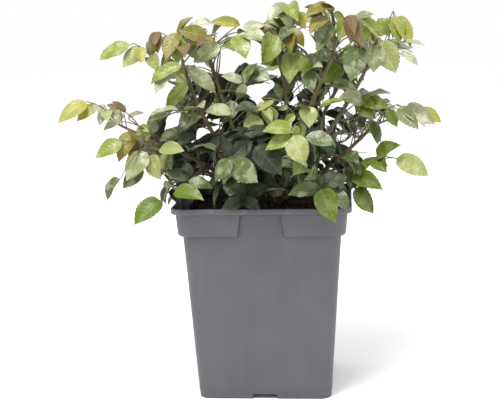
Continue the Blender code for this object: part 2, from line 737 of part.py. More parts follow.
def build_plant():
    clear_scene()
    parts = new_collection("potted_rose_bush")
    cutters = new_collection("cutters")
    plant = bpy.data.objects.new("plant", None)
    parts.objects.link(plant)
    materials = {name: new_material(name) for name in COLOURS}
    pot = build_pot(parts, cutters)
    finish(pot, materials["pot"], plant)
    soil = build_soil(parts, cutters)
    finish(soil, materials["soil"], plant)
    arcs, limbs = build_limbs(parts, plant, materials["cane"])
    stock = build_stock(parts, cutters, arcs)
    finish(stock, materials["wood"], plant)
    space = Space()
    for solid in [pot, soil, stock] + list(limbs.values()):
        space.add_solid(solid)
    shoots = {
        name: build_stem(name, carrier, place, tip, arcs, limbs, space, parts)
        for name, (carrier, place, tip, _, _, _) in SHOOTS.items()
    }
    for index, (name, (_, _, _, count, size, turn)) in enumerate(SHOOTS.items()):
        stem, shoot = shoots[name]
        mass = dress_mass(name, stem, shoot, count, size, turn, space, random.Random(index), cutters)
        finish(mass, materials["leaves"], plant)
    bpy.data.collections.remove(cutters)


build_plant()
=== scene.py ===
# Potted rose bush: pot, compost, graft, canes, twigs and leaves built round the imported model
import math
import random

import bmesh
import bpy
from mathutils import Matrix, Vector, noise
from mathutils.bvhtree import BVHTree


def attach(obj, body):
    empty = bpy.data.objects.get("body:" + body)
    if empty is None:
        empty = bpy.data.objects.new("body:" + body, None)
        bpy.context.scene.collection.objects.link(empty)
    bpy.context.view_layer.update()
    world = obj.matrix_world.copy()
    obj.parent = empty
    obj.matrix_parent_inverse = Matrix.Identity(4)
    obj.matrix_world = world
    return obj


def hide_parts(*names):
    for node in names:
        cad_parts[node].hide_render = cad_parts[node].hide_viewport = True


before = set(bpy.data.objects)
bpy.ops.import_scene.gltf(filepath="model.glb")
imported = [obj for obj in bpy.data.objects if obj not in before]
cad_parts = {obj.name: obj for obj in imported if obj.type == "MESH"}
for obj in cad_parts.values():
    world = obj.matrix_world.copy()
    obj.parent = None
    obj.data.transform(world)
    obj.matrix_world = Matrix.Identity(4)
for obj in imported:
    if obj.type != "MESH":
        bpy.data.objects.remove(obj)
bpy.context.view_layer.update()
mm = 0.001


# Small helpers for meshes and node trees

def addItem(name, data):
    item = bpy.data.objects.new(name, data)
    bpy.context.scene.collection.objects.link(item)
    return item


def addObject(name, mesh):
    data = bpy.data.meshes.new(name)
    mesh.to_mesh(data)
    mesh.free()
    return addItem(name, data)


def settle(item):
    # the evaluated mesh takes the place of mesh and modifiers
    graph = bpy.context.evaluated_depsgraph_get()
    data = bpy.data.meshes.new_from_object(item.evaluated_get(graph))
    item.modifiers.clear()
    item.data = data
    return item


def shadeSmooth(item, angle):
    item.data.shade_smooth()
    item.data.set_sharp_from_angle(angle=math.radians(angle))


def dress(item, material, slot, *nodes):
    # material, body and the model's nodes that the piece stands for; slot is not used
    item.data.materials.clear()
    item.data.materials.append(material)
    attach(item, "root")
    if nodes:
        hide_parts(*nodes)
    return item


def addNode(tree, kind, inputs=(), **settings):
    # a node with its settings; an input is a number, a colour or another node's output
    made = tree.nodes.new(kind)
    for key, value in settings.items():
        setattr(made, key, value)
    for key, value in dict(inputs).items():
        if isinstance(value, bpy.types.NodeSocket):
            tree.links.new(value, made.inputs[key])
        else:
            made.inputs[key].default_value = value
    return made


def calc(tree, operation, *values):
    return addNode(tree, "ShaderNodeMath", dict(enumerate(values)), operation=operation).outputs[0]


def remap(tree, value, low, high, newLow=0, newHigh=1):
    # the range from low to high stretched to a new one, and held within it
    return addNode(tree, "ShaderNodeMapRange", {
        "Value": value, "From Min": low, "From Max": high, "To Min": newLow, "To Max": newHigh}).outputs[0]


def addNoise(tree, place, scale, detail):
    return addNode(tree, "ShaderNodeTexNoise", {"Vector": place, "Scale": scale, "Detail": detail}).outputs[0]


def blend(tree, share, one, two):
    # a colour between two colours
    mix = addNode(tree, "ShaderNodeMix", {0: share, 6: one, 7: two}, data_type="RGBA")
    return mix.outputs[2]


def opaque(colour):
    return (*colour, 1)


def newGroup(name, kind, inputs, outputs):
    # a node group with named sockets; returns its tree, its inputs and its output node
    tree = bpy.data.node_groups.new(name, kind)
    for label, socket, value in inputs:
        made = tree.interface.new_socket(label, in_out="INPUT", socket_type=socket)
        if value is not None:
            made.default_value = value
    for label, socket in outputs:
        tree.interface.new_socket(label, in_out="OUTPUT", socket_type=socket)
    return tree, tree.nodes.new("NodeGroupInput").outputs, tree.nodes.new("NodeGroupOutput").inputs


def useGroup(tree, group, inputs=()):
    return addNode(tree, "ShaderNodeGroup", inputs, node_tree=group).outputs


def carried(tree, name, kind="FLOAT"):
    # a named value that the points of a mesh carry
    return addNode(tree, "GeometryNodeInputNamedAttribute", {0: name}, data_type=kind).outputs[0]


def paint(tree, geometry, material, outs):
    # the last step of a geometry tree: its faces take their material
    painted = addNode(tree, "GeometryNodeSetMaterial", {"Geometry": geometry, "Material": material})
    tree.links.new(painted.outputs[0], outs["Geometry"])
    return tree


def newMaterial(name, roughness, specular=0.5):
    material = bpy.data.materials.new(name)
    material.use_nodes = True
    tree = material.node_tree
    shader = tree.nodes["Principled BSDF"]
    shader.inputs["Roughness"].default_value = roughness
    shader.inputs["Specular IOR Level"].default_value = specular
    return material, tree, shader


def addBump(tree, shader, height, distance, strength):
    bump = addNode(tree, "ShaderNodeBump", {"Height": height, "Distance": distance, "Strength": strength})
    tree.links.new(bump.outputs[0], shader.inputs["Normal"])


def runNodes(item, tree, values):
    # a Geometry Nodes modifier with its inputs set by identifier, then made permanent
    modifier = item.modifiers.new(tree.name, "NODES")
    modifier.node_group = tree
    for socket in tree.interface.items_tree:
        if socket.in_out == "INPUT" and socket.name in values:
            modifier[socket.identifier] = values[socket.name]
    return settle(item)


# Camera, floor and light

cameraSettings = {
    "lens": 86.4, "sensor": 36,
    "yaw": -4.72, "pitch": 8.84, "roll": -1.2,    # degrees
    "distance": 1.2487, "sideways": 0.01671, "height": 0.3898,
}


def placeCamera(settings):
    yaw, pitch, roll = (math.radians(settings[key]) for key in ("yaw", "pitch", "roll"))
    turn = Matrix.Rotation(-yaw, 3, "Z")
    forward = turn @ Vector((0, math.cos(pitch), -math.sin(pitch)))
    right = turn @ Vector((1, 0, 0))
    upward = turn @ Vector((0, math.sin(pitch), math.cos(pitch)))
    rolledRight = right * math.cos(roll) + upward * math.sin(roll)
    rolledUp = upward * math.cos(roll) - right * math.sin(roll)
    place = turn @ Vector((-settings["sideways"], -settings["distance"], 0))
    place.z = settings["height"]
    data = bpy.data.cameras.new("camera")
    data.lens = settings["lens"]
    data.sensor_width = settings["sensor"]
    camera = addItem("camera", data)
    turned = Matrix((rolledRight, rolledUp, -forward)).transposed().to_4x4()
    camera.matrix_world = Matrix.Translation(place) @ turned
    bpy.context.scene.camera = camera
    return place


lightSettings = {
    "world": 1.0,
    "key": 62, "keySize": 1.0, "keyPlace": (-0.5, -1.0, 2.2),
    "fill": 9, "fillSize": 1.4, "fillPlace": (1.5, -0.9, 1.1),
    "aim": (0, 0, 0.25), "floorColour": (0.99, 0.99, 0.99), "floorHalf": 14,
}


def addLight(settings, name):
    # a square light whose power, size and place are the settings of its name
    data = bpy.data.lights.new("soft_" + name, "AREA")
    data.energy = settings[name]
    data.size = settings[name + "Size"]
    light = addItem("soft_" + name, data)
    light.location = settings[name + "Place"]
    light.rotation_euler = (Vector(settings["aim"]) - light.location).to_track_quat("-Z", "Y").to_euler()


def buildStage(settings):
    scene = bpy.context.scene
    scene.view_settings.view_transform = "Standard"
    scene.world = bpy.data.worlds.new("studio")
    scene.world.use_nodes = True
    sky = scene.world.node_tree.nodes["Background"]
    sky.inputs["Color"].default_value = (1, 1, 1, 1)
    sky.inputs["Strength"].default_value = settings["world"]
    mesh = bmesh.new()
    bmesh.ops.create_grid(mesh, x_segments=1, y_segments=1, size=settings["floorHalf"])
    floor = addObject("studio_floor", mesh)
    material, _, shader = newMaterial("studioFloor", 0.9, 0.1)
    shader.inputs["Base Color"].default_value = opaque(settings["floorColour"])
    floor.data.materials.append(material)
    addLight(settings, "key")
    addLight(settings, "fill")


cameraPlace = placeCamera(cameraSettings)
buildStage(lightSettings)
print("stage ready")


# Shared shader groups

def mottleGroup():
    # soft uneven patches: a large and a small noise added together, spread round one half
    tree, ins, outs = newGroup("mottle", "ShaderNodeTree", [
        ("Place", "NodeSocketVector", None), ("Large", "NodeSocketFloat", 20),
        ("Small", "NodeSocketFloat", 160), ("Contrast", "NodeSocketFloat", 1.6),
    ], [("Patches", "NodeSocketFloat"), ("Grain", "NodeSocketFloat")])
    large = addNoise(tree, ins["Place"], ins["Large"], 3)
    small = addNoise(tree, ins["Place"], ins["Small"], 4)
    both = calc(tree, "MULTIPLY_ADD", large, 0.65, calc(tree, "MULTIPLY", small, 0.35))
    spread = calc(tree, "MULTIPLY", calc(tree, "SUBTRACT", both, 0.5), ins["Contrast"])
    patches = addNode(tree, "ShaderNodeMath", {0: spread, 1: 0.5}, operation="ADD", use_clamp=True)
    tree.links.new(patches.outputs[0], outs["Patches"])
    tree.links.new(small, outs["Grain"])
    return tree


def veinGroup():
    # a leaflet's midrib and side veins from its own map: u across with 0.5 at the midrib, v along
    tree, ins, outs = newGroup("leafVeins", "ShaderNodeTree", [
        ("Leaf Map", "NodeSocketVector", None), ("Pairs", "NodeSocketFloat", 7),
        ("Slant", "NodeSocketFloat", 0.5),
    ], [("Midrib", "NodeSocketFloat"), ("Side Veins", "NodeSocketFloat"), ("Relief", "NodeSocketFloat"),
        ("Underside", "NodeSocketFloat")])
    split = addNode(tree, "ShaderNodeSeparateXYZ", {0: ins["Leaf Map"]}).outputs
    across = calc(tree, "ABSOLUTE", calc(tree, "SUBTRACT", split[0], 0.5))
    along = calc(tree, "FRACT", split[1])
    midrib = calc(tree, "SUBTRACT", 1, calc(tree, "SMOOTH_MIN", calc(tree, "MULTIPLY", across, 26), 1, 0.3))
    slanted = calc(tree, "SUBTRACT", along, calc(tree, "MULTIPLY", across, ins["Slant"]))
    wave = calc(tree, "SINE", calc(tree, "MULTIPLY", calc(tree, "MULTIPLY", slanted, ins["Pairs"]), math.tau))
    veins = calc(tree, "POWER", calc(tree, "MULTIPLY_ADD", wave, 0.5, 0.5), 9)
    relief = calc(tree, "SUBTRACT", calc(tree, "MULTIPLY", wave, -0.13),
                  calc(tree, "MULTIPLY_ADD", veins, 0.2, midrib))
    tree.links.new(midrib, outs["Midrib"])
    tree.links.new(veins, outs["Side Veins"])
    tree.links.new(relief, outs["Relief"])
    tree.links.new(calc(tree, "GREATER_THAN", split[1], 1), outs["Underside"])
    return tree


mottle = mottleGroup()
leafVeins = veinGroup()


def objectPlace(tree):
    return addNode(tree, "ShaderNodeTexCoord").outputs["Object"]


def mottledMaterial(name, one, two, roughness, specular, pattern, bump=None):
    # two colours in soft patches: pattern is their two scales and contrast, bump its distance and strength
    material, tree, shader = newMaterial(name, roughness, specular)
    scales = dict(zip(("Large", "Small", "Contrast"), pattern))
    patches = useGroup(tree, mottle, {"Place": objectPlace(tree), **scales})
    tree.links.new(blend(tree, patches["Patches"], opaque(one), opaque(two)), shader.inputs["Base Color"])
    if bump:
        addBump(tree, shader, patches["Grain"], *bump)
    return material


# Pot

potSizes = {    # half widths across the flats, heights above the ground
    "height": 200 * mm, "footHalf": 67.7 * mm, "topHalf": 81.4 * mm,
    "bandLowHalf": 84.2 * mm, "bandHighHalf": 85.8 * mm, "lipHalf": 90 * mm,
    "bandBottom": 170.5 * mm, "bandRounding": 3.4 * mm, "lipBottom": 192.7 * mm, "lipFaceBottom": 195 * mm,
    "bodyCorner": 12 * mm, "bandCorner": 14 * mm, "lipCorner": 15 * mm, "cornerSteps": 9, "wall": 2 * mm,
    "recessHighHalf": 19.7 * mm, "recessLowHalf": 23.2 * mm, "recessSlope": 0.5 * mm,
    "seamHeight": 9 * mm, "seamRise": 0.3 * mm, "footRounding": 1 * mm, "lipRounding": 0.9 * mm,
    "channelLowHalf": 14.3 * mm, "channelHighHalf": 11.8 * mm, "channelHeight": 5 * mm, "channelEnd": 36 * mm,
    "drainRadius": 4.5 * mm, "drainPlace": 44 * mm, "overrun": 5 * mm,
}


def bodyHalf(height):
    sizes = potSizes
    return sizes["footHalf"] + (sizes["topHalf"] - sizes["footHalf"]) * height / sizes["height"]


def potRing(height, outer, corner, stands, inset):
    # points round the pot at one height; outer stands proud of the body, except in the four recesses
    sizes = potSizes
    lift = min(max((height - sizes["bandBottom"]) / (sizes["lipFaceBottom"] - sizes["bandBottom"]), 0), 1)
    recess = sizes["recessLowHalf"] + (sizes["recessHighHalf"] - sizes["recessLowHalf"]) * lift + inset
    slope = sizes["recessSlope"]
    half, corner, inner = outer - inset, corner - inset, bodyHalf(height) - inset
    flat = half - corner
    places = [flat, (flat + recess) / 2, recess + 3 * slope, recess + slope, recess - slope,
              recess - 3 * slope, recess / 2, 0]
    side = [(-place, place < recess if stands else False) for place in places]
    side += [(-place, low) for place, low in reversed(side[:-1])]
    points = []
    for turn in range(4):
        quarter = Matrix.Rotation(turn * math.pi / 2, 3, "Z")
        for place, low in side:
            points.append(quarter @ Vector((place, -(inner if low else half), height)))
        for step in range(1, sizes["cornerSteps"]):
            angle = step / sizes["cornerSteps"] * math.pi / 2
            across, back = flat + corner * math.sin(angle), -flat - corner * math.cos(angle)
            points.append(quarter @ Vector((across, back, height)))
    return points


def loft(rings):
    # a closed skin over rings of points, with a flat face at either end
    mesh = bmesh.new()
    rows = [[mesh.verts.new(point) for point in ring] for ring in rings]
    count = len(rows[0])
    for low, high in zip(rows, rows[1:]):
        for index in range(count):
            after = (index + 1) % count
            mesh.faces.new((low[index], low[after], high[after], high[index]))
    mesh.faces.new(list(reversed(rows[0])))
    mesh.faces.new(rows[-1])
    return mesh


def potRings(inset, floor, top):
    # the pot's rings from the floor up, as its outer skin or, with an inset, as the hollow within its walls
    sizes = potSizes
    rings = []

    def ring(height, outer, corner, stands=False):
        if height >= floor:
            rings.append(potRing(height, outer, corner, stands, inset))

    if inset == 0:
        for step in range(4):    # rounded foot edge
            angle = step / 3 * math.pi / 2
            ring(sizes["footRounding"] * (1 - math.cos(angle)),
                 sizes["footHalf"] - sizes["footRounding"] * (1 - math.sin(angle)), sizes["bodyCorner"])
        for offset, rise in ((-1.1, 0), (-0.5, 1), (0.5, 1), (1.1, 0)):    # seam round the foot
            height = sizes["seamHeight"] + offset * mm
            ring(height, bodyHalf(height) + sizes["seamRise"] * rise, sizes["bodyCorner"])
    else:
        ring(floor, bodyHalf(floor), sizes["bodyCorner"])
    for share in (0.15, 0.3, 0.45, 0.6, 0.75, 0.9):
        height = sizes["bandBottom"] * share
        ring(height, bodyHalf(height), sizes["bodyCorner"])
    low = sizes["bandBottom"] + inset
    rings.append(potRing(low, bodyHalf(low), sizes["bodyCorner"], False, inset))
    rounding = sizes["bandRounding"]
    for step in range(6):    # rounded lower edge of the band
        angle = step / 5 * math.pi / 2
        height = low + rounding * (1 - math.cos(angle))
        outer = sizes["bandLowHalf"] - rounding * (1 - math.sin(angle))
        rings.append(potRing(height, outer, sizes["bandCorner"], True, inset))
    for share in (0.4, 0.7, 1):
        height = low + rounding + (sizes["lipBottom"] - low - rounding) * share
        outer = sizes["bandLowHalf"] + (sizes["bandHighHalf"] - sizes["bandLowHalf"]) * share
        rings.append(potRing(height, outer, sizes["bandCorner"], True, inset))
    high = sizes["lipBottom"] + inset
    rings.append(potRing(high, sizes["bandHighHalf"], sizes["bandCorner"], False, inset))
    slope = sizes["lipFaceBottom"] + inset
    rings.append(potRing(slope - 0.5 * mm, sizes["lipHalf"] - 0.25 * mm, sizes["lipCorner"], False, inset))
    rings.append(potRing(slope + 0.3 * mm, sizes["lipHalf"], sizes["lipCorner"], False, inset))
    if inset:
        rings.append(potRing(top, sizes["lipHalf"], sizes["lipCorner"], False, inset))
    else:
        for step in range(4):    # rounded upper edge of the lip
            angle = step / 3 * math.pi / 2
            rings.append(potRing(top - sizes["lipRounding"] * (1 - math.sin(angle)),
                                 sizes["lipHalf"] - sizes["lipRounding"] * (1 - math.cos(angle)),
                                 sizes["lipCorner"], False, inset))
    return rings


def sideBlock(side, low, high, lowHalf, highHalf, near, far):
    # a block that tapers upward, on one of the pot's four sides
    mesh = bmesh.new()
    bmesh.ops.create_cube(mesh, size=2)
    for vertex in mesh.verts:
        upper = vertex.co.z > 0
        vertex.co = (vertex.co.x * (highHalf if upper else lowHalf), far if vertex.co.y > 0 else near,
                     high if upper else low)
    bmesh.ops.transform(mesh, matrix=Matrix.Rotation(side * math.pi / 2, 4, "Z"), verts=mesh.verts)
    return addObject("block", mesh)


def cut(item, cutters):
    for cutter in cutters:
        modifier = item.modifiers.new("cut", "BOOLEAN")
        modifier.operation = "DIFFERENCE"
        modifier.object = cutter
    settle(item)
    for cutter in cutters:
        bpy.data.objects.remove(cutter, do_unlink=True)
    return item


def channels(grow):
    # the four channels under the foot, or with grow the space that their walls take up inside
    sizes = potSizes
    return [sideBlock(side, -sizes["overrun"], sizes["channelHeight"] + grow, sizes["channelLowHalf"] + grow,
                      sizes["channelHighHalf"] + grow, sizes["channelEnd"] - grow, sizes["lipHalf"])
            for side in range(4)]


def drains():
    sizes = potSizes
    made = []
    for side in range(4):
        mesh = bmesh.new()
        bmesh.ops.create_cone(mesh, cap_ends=True, segments=24, radius1=sizes["drainRadius"],
                              radius2=sizes["drainRadius"], depth=sizes["channelHeight"])
        angle = side * math.pi / 2
        place = Vector((-math.sin(angle), math.cos(angle), 0)) * sizes["drainPlace"]
        place.z = sizes["channelHeight"] + sizes["wall"] / 2
        bmesh.ops.translate(mesh, vec=place, verts=mesh.verts)
        made.append(addObject("drain", mesh))
    return made


def buildPot():
    sizes = potSizes
    pot = addObject("nursery_pot", loft(potRings(0, 0, sizes["height"])))
    wall, above = sizes["wall"], sizes["height"] + sizes["overrun"]
    cavity = addObject("cavity", loft(potRings(wall, wall, above)))
    cut(cavity, channels(wall))
    cut(pot, [cavity] + channels(0) + drains())
    shadeSmooth(pot, 28)
    return pot


potLook = {
    "colour": (0.067, 0.063, 0.073), "paler": (0.086, 0.081, 0.092), "darker": (0.048, 0.045, 0.053),
    "scuff": (0.15, 0.15, 0.155), "roughness": 0.46, "bump": 0.00012,
}


def potMaterial(look):
    # mottled grey plastic with faint streaks up its sides, a scuffed lip, and painted shade darkening it toward
    # the foot
    material, tree, shader = newMaterial("pottedPlastic", look["roughness"])
    place = objectPlace(tree)
    height = addNode(tree, "ShaderNodeSeparateXYZ", {0: place}).outputs[2]
    patches = useGroup(tree, mottle, {"Place": place, "Large": 26, "Small": 240, "Contrast": 2.2})
    colour = blend(tree, patches["Patches"], opaque(look["darker"]), opaque(look["paler"]))
    colour = blend(tree, 0.45, colour, opaque(look["colour"]))
    stretched = addNode(tree, "ShaderNodeMapping", {"Vector": place, "Scale": (90, 90, 7)}).outputs[0]
    streaks = addNoise(tree, stretched, 1, 4)
    streakMask = calc(tree, "MULTIPLY", remap(tree, streaks, 0.52, 0.72), 0.35)
    colour = blend(tree, streakMask, colour, opaque(look["paler"]))
    nearLip = remap(tree, height, 0.1925, 0.2)
    worn = calc(tree, "MULTIPLY", nearLip, remap(tree, addNoise(tree, place, 130, 5), 0.56, 0.68))
    colour = blend(tree, calc(tree, "MULTIPLY", worn, 0.5), colour, opaque(look["scuff"]))
    # painted shade: the colour darkens over the lowest 16 cm toward the foot
    colour = blend(tree, remap(tree, height, 0, 0.16, 0.22, 0), colour, opaque(look["darker"]))
    tree.links.new(colour, shader.inputs["Base Color"])
    rough = remap(tree, patches["Grain"], 0.3, 0.7, look["roughness"] - 0.08, look["roughness"] + 0.1)
    tree.links.new(rough, shader.inputs["Roughness"])
    relief = calc(tree, "MULTIPLY_ADD", streaks, 0.8, addNoise(tree, place, 700, 3))
    addBump(tree, shader, relief, look["bump"], 0.5)
    return material


dress(buildPot(), potMaterial(potLook), "pot", "pot")
print("pot built")


# Compost

compostSizes = {
    "top": 186 * mm, "inset": 2.9 * mm, "rise": 1.6 * mm, "roughness": 2.2 * mm, "mound": 3 * mm,
    "rings": 26, "crumbDensity": 42000, "crumbSize": (0.9 * mm, 2.6 * mm),
}


compostLook = {    # dark and light colour, and the contrast of their patches
    "darkCompost": ((0.014, 0.012, 0.011), (0.036, 0.028, 0.020), 2.4),
    "compostCrumb": ((0.010, 0.007, 0.005), (0.055, 0.036, 0.022), 3.0),
}


def buildCrust(sizes):
    # the compost's crumbly top: rings that shrink toward the middle and rise and fall by noise
    top, half = sizes["top"], potSizes["bandHighHalf"] - 0.4 * mm
    outline = potRing(top, half, potSizes["bandCorner"], True, sizes["inset"])
    rings = [[(point.x, point.y, top - 1 * mm) for point in outline]]
    for step in range(sizes["rings"]):
        share = 1 - step / sizes["rings"]
        ring = []
        for point in outline:
            place = Vector((point.x * share, point.y * share, 0))
            lumps = noise.fractal(place * 90, 0.8, 2.1, 4) + 0.6 * noise.noise(place * 420)
            height = sizes["rise"] + lumps * sizes["roughness"] * min(1, step / 2 + 0.3)
            height += sizes["mound"] * max(0, 1 - share * 2.2)
            ring.append((place.x, place.y, top + max(height, 0.1 * mm)))
        rings.append(ring)
    crust = addObject("compost_crust", loft(rings))
    shadeSmooth(crust, 60)
    return crust


def crumbTree():
    # crumbs and chips scattered over a surface, each turned, stretched and roughened
    tree, ins, outs = newGroup("compostCrumbs", "GeometryNodeTree", [
        ("Geometry", "NodeSocketGeometry", None), ("Density", "NodeSocketFloat", 20000),
        ("Smallest", "NodeSocketFloat", 0.001), ("Largest", "NodeSocketFloat", 0.003),
        ("Seed", "NodeSocketInt", 3), ("Crumb Material", "NodeSocketMaterial", None),
    ], [("Geometry", "NodeSocketGeometry")])
    normal = addNode(tree, "GeometryNodeInputNormal").outputs[0]
    upward = addNode(tree, "ShaderNodeSeparateXYZ", {0: normal}).outputs[2]
    facing = addNode(tree, "FunctionNodeCompare", {0: upward, 1: 0.2}, operation="GREATER_THAN").outputs[0]
    points = addNode(tree, "GeometryNodeDistributePointsOnFaces", {
        "Mesh": ins["Geometry"], "Selection": facing, "Density": ins["Density"], "Seed": ins["Seed"]})
    size = addNode(tree, "FunctionNodeRandomValue", {2: ins["Smallest"], 3: ins["Largest"], 8: 11})
    stretch = addNode(tree, "FunctionNodeRandomValue", {0: (0.6, 0.6, 0.45), 1: (1.7, 1.1, 0.9), 8: 12},
                      data_type="FLOAT_VECTOR")
    scale = addNode(tree, "ShaderNodeVectorMath", {0: stretch.outputs[0], 3: size.outputs[1]},
                    operation="SCALE")
    turn = addNode(tree, "FunctionNodeRandomValue", {0: (-0.5, -0.5, 0), 1: (0.5, 0.5, math.tau), 8: 13},
                   data_type="FLOAT_VECTOR")
    rotation = addNode(tree, "FunctionNodeEulerToRotation", {0: turn.outputs[0]}).outputs[0]
    ball = addNode(tree, "GeometryNodeMeshIcoSphere", {"Radius": 1, "Subdivisions": 2})
    crumbs = addNode(tree, "GeometryNodeInstanceOnPoints", {
        "Points": points.outputs[0], "Instance": ball.outputs[0],
        "Rotation": rotation, "Scale": scale.outputs[0]})
    real = addNode(tree, "GeometryNodeRealizeInstances", {0: crumbs.outputs[0]}).outputs[0]
    place = addNode(tree, "GeometryNodeInputPosition").outputs[0]
    jitter = addNode(tree, "ShaderNodeTexNoise", {
        "Vector": place, "Scale": 620, "Detail": 2}).outputs["Color"]
    centred = addNode(tree, "ShaderNodeVectorMath", {0: jitter, 1: (0.5, 0.5, 0.5)},
                      operation="SUBTRACT").outputs[0]
    offset = addNode(tree, "ShaderNodeVectorMath", {0: centred, 3: 0.0022}, operation="SCALE").outputs[0]
    rough = addNode(tree, "GeometryNodeSetPosition", {"Geometry": real, "Offset": offset}).outputs[0]
    return paint(tree, rough, ins["Crumb Material"], outs)


def buildCompost(sizes):
    earth, crumbly = (mottledMaterial(name, dark, light, 0.92, 0.25, (260, 900, contrast), (0.0006, 0.9))
                      for name, (dark, light, contrast) in compostLook.items())
    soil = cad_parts["soil"]
    soil.data.materials.clear()
    soil.data.materials.append(earth)
    crust = buildCrust(sizes)
    crumbs = addItem("compost_crumbs", crust.data.copy())
    runNodes(crumbs, crumbTree(), {
        "Density": sizes["crumbDensity"], "Smallest": sizes["crumbSize"][0],
        "Largest": sizes["crumbSize"][1], "Seed": 5, "Crumb Material": crumbly})
    dress(crust, earth, "compost")
    dress(crumbs, crumbly, "compost")
    print("compost crumbs:", len(crumbs.data.polygons), "faces")


buildCompost(compostSizes)


# The plant's plan: canes and shoots as in the model, in millimetres

plantSizes = {
    "compostTop": 186 * mm, "gap": 0.3 * mm, "tipGap": 0.5 * mm, "knobHeight": 10 * mm, "stubLength": 11 * mm,
    "caneFoot": 3.1 * mm, "caneTip": 2.2 * mm, "caneBendPlace": 0.54,
    "shootFoot": 1.6 * mm, "shootTip": 0.9 * mm, "shootTowardTip": 0.4, "shootAway": 0.2,
    "stalkFoot": 0.85 * mm, "stalkTip": 0.45 * mm, "stalkLength": 58 * mm, "leafletLength": 34 * mm,
    "leafLowest": 172 * mm, "overRim": 203 * mm, "overCompost": 191 * mm, "overCompostHalf": 66 * mm,
    "crownTop": 404 * mm, "potMargin": 2 * mm, "clearance": 0.35 * mm,
}

canePlan = {    # foot beside the stock's middle, half-way point, tip
    "cane_left": ((-8, 1), (-55, -14, 272), (-81, -20, 340)),
    "cane_left_back": ((-6, 5), (-36, 8, 278), (-56, 14, 340)),
    "cane_middle": ((4, 3), (22, 6, 272), (16, 12, 338)),
    "cane_right": ((9, -4), (42, -14, 278), (70, -26, 342)),
    "cane_far_right": ((12, 3), (64, 6, 262), (104, 12, 326)),
    "cane_low_left": ((-14, -6), (-62, -18, 236), (-122, -32, 268)),
    "cane_low_right": ((13, -4), (60, -8, 226), (106, -6, 266)),
    "cane_front_right": ((4, -10), (22, -44, 234), (44, -74, 276)),
    "cane_front_left": ((-5, -10), (-24, -40, 226), (-40, -72, 252)),
    "cane_back_left": ((-7, 11), (-34, 52, 252), (-58, 84, 312)),
    "cane_back": ((1, 12), (10, 60, 250), (22, 104, 302)),
    "cane_back_right": ((9, 9), (44, 46, 252), (78, 76, 312)),
}

shootPlan = {    # limb, place along it, tip, number of leaves, their size, turn of the first leaf
    "leaves_left_top": ("cane_left", 1, (-78, -16, 364), 4, 0.95, 50),
    "leaves_left_top_side": ("cane_left", 0.82, (-108, -30, 344), 3, 1.0, 10),
    "leaves_left_back_top": ("cane_left_back", 1, (-50, 22, 360), 4, 1.0, 40),
    "leaves_middle_top": ("cane_middle", 1, (22, 16, 366), 5, 0.95, 200),
    "leaves_right_top": ("cane_right", 1, (74, -28, 370), 5, 0.95, 60),
    "leaves_far_right_top": ("cane_far_right", 1, (130, 14, 356), 4, 1.0, 30),
    "leaves_low_left_tip": ("cane_low_left", 1, (-160, -36, 288), 4, 0.9, 150),
    "leaves_low_right_tip": ("cane_low_right", 1, (140, -4, 280), 4, 0.95, 100),
    "leaves_front_right_top": ("cane_front_right", 1, (50, -88, 286), 4, 1.0, 30),
    "leaves_front_left_top": ("cane_front_left", 1, (-44, -88, 262), 4, 1.0, 0),
    "leaves_back_left_top": ("cane_back_left", 1, (-66, 100, 332), 3, 1.15, 0),
    "leaves_back_top": ("cane_back", 1, (24, 122, 322), 3, 1.15, 0),
    "leaves_back_right_top": ("cane_back_right", 1, (88, 92, 330), 3, 1.15, 0),
    "leaves_low_left_side": ("cane_low_left", 0.8, (-118, -62, 258), 4, 0.95, 0),
    "leaves_low_left_foot": ("cane_low_left", 0.45, (-100, -52, 220), 4, 0.95, 300),
    "leaves_low_right_side": ("cane_low_right", 0.7, (116, -34, 240), 3, 1.0, 0),
    "leaves_low_right_foot": ("cane_low_right", 0.4, (84, -54, 222), 3, 0.95, 0),
    "leaves_front_right_side": ("cane_front_right", 0.5, (56, -78, 226), 4, 1.0, 0),
    "leaves_front_left_side": ("cane_front_left", 0.5, (-66, -62, 224), 3, 0.95, 0),
    "leaves_left_side": ("cane_left", 0.5, (-78, -38, 290), 4, 1.0, 0),
    "leaves_left_back_side": ("cane_left_back", 0.55, (-86, 44, 296), 3, 1.05, 0),
    "leaves_middle_side": ("cane_middle", 0.6, (2, -34, 304), 4, 1.0, 0),
    "leaves_right_side": ("cane_right", 0.6, (66, -56, 314), 4, 1.0, 0),
    "leaves_far_right_side": ("cane_far_right", 0.6, (108, 36, 288), 3, 1.05, 0),
    "leaves_back_left_side": ("cane_back_left", 0.45, (-94, 66, 252), 3, 1.1, 0),
    "leaves_back_side": ("cane_back", 0.5, (-6, 104, 254), 3, 1.1, 0),
    "leaves_back_right_side": ("cane_back_right", 0.5, (90, 78, 254), 3, 1.1, 0),
    "leaves_left_back_front": ("cane_left_back", 0.7, (-22, -18, 308), 4, 1.0, 60),
    "leaves_middle_low": ("cane_middle", 0.2, (10, -40, 240), 3, 1.0, 0),
    "leaves_left_low": ("cane_left", 0.15, (-40, -34, 236), 3, 0.95, 0),
    "leaves_right_low": ("cane_right", 0.2, (60, -40, 254), 3, 1.0, 0),
    "leaves_front_left_low": ("cane_front_left", 0.15, (-8, -66, 212), 3, 0.9, 40),
    "leaves_front_right_low": ("cane_front_right", 0.15, (30, -62, 212), 3, 0.9, 0),
    "leaves_back_left_low": ("cane_left_back", 0.2, (-52, 34, 240), 3, 1.0, 0),
    "leaves_back_right_low": ("cane_far_right", 0.25, (70, 40, 240), 3, 1.0, 0),
    "leaves_back_low": ("cane_back", 0.2, (4, 70, 220), 3, 1.1, 0),
    "leaves_back_left_foot": ("cane_back_left", 0.2, (-66, 72, 214), 3, 1.1, 40),
    "leaves_back_right_foot": ("cane_back_right", 0.2, (62, 70, 216), 3, 1.1, 0),
}


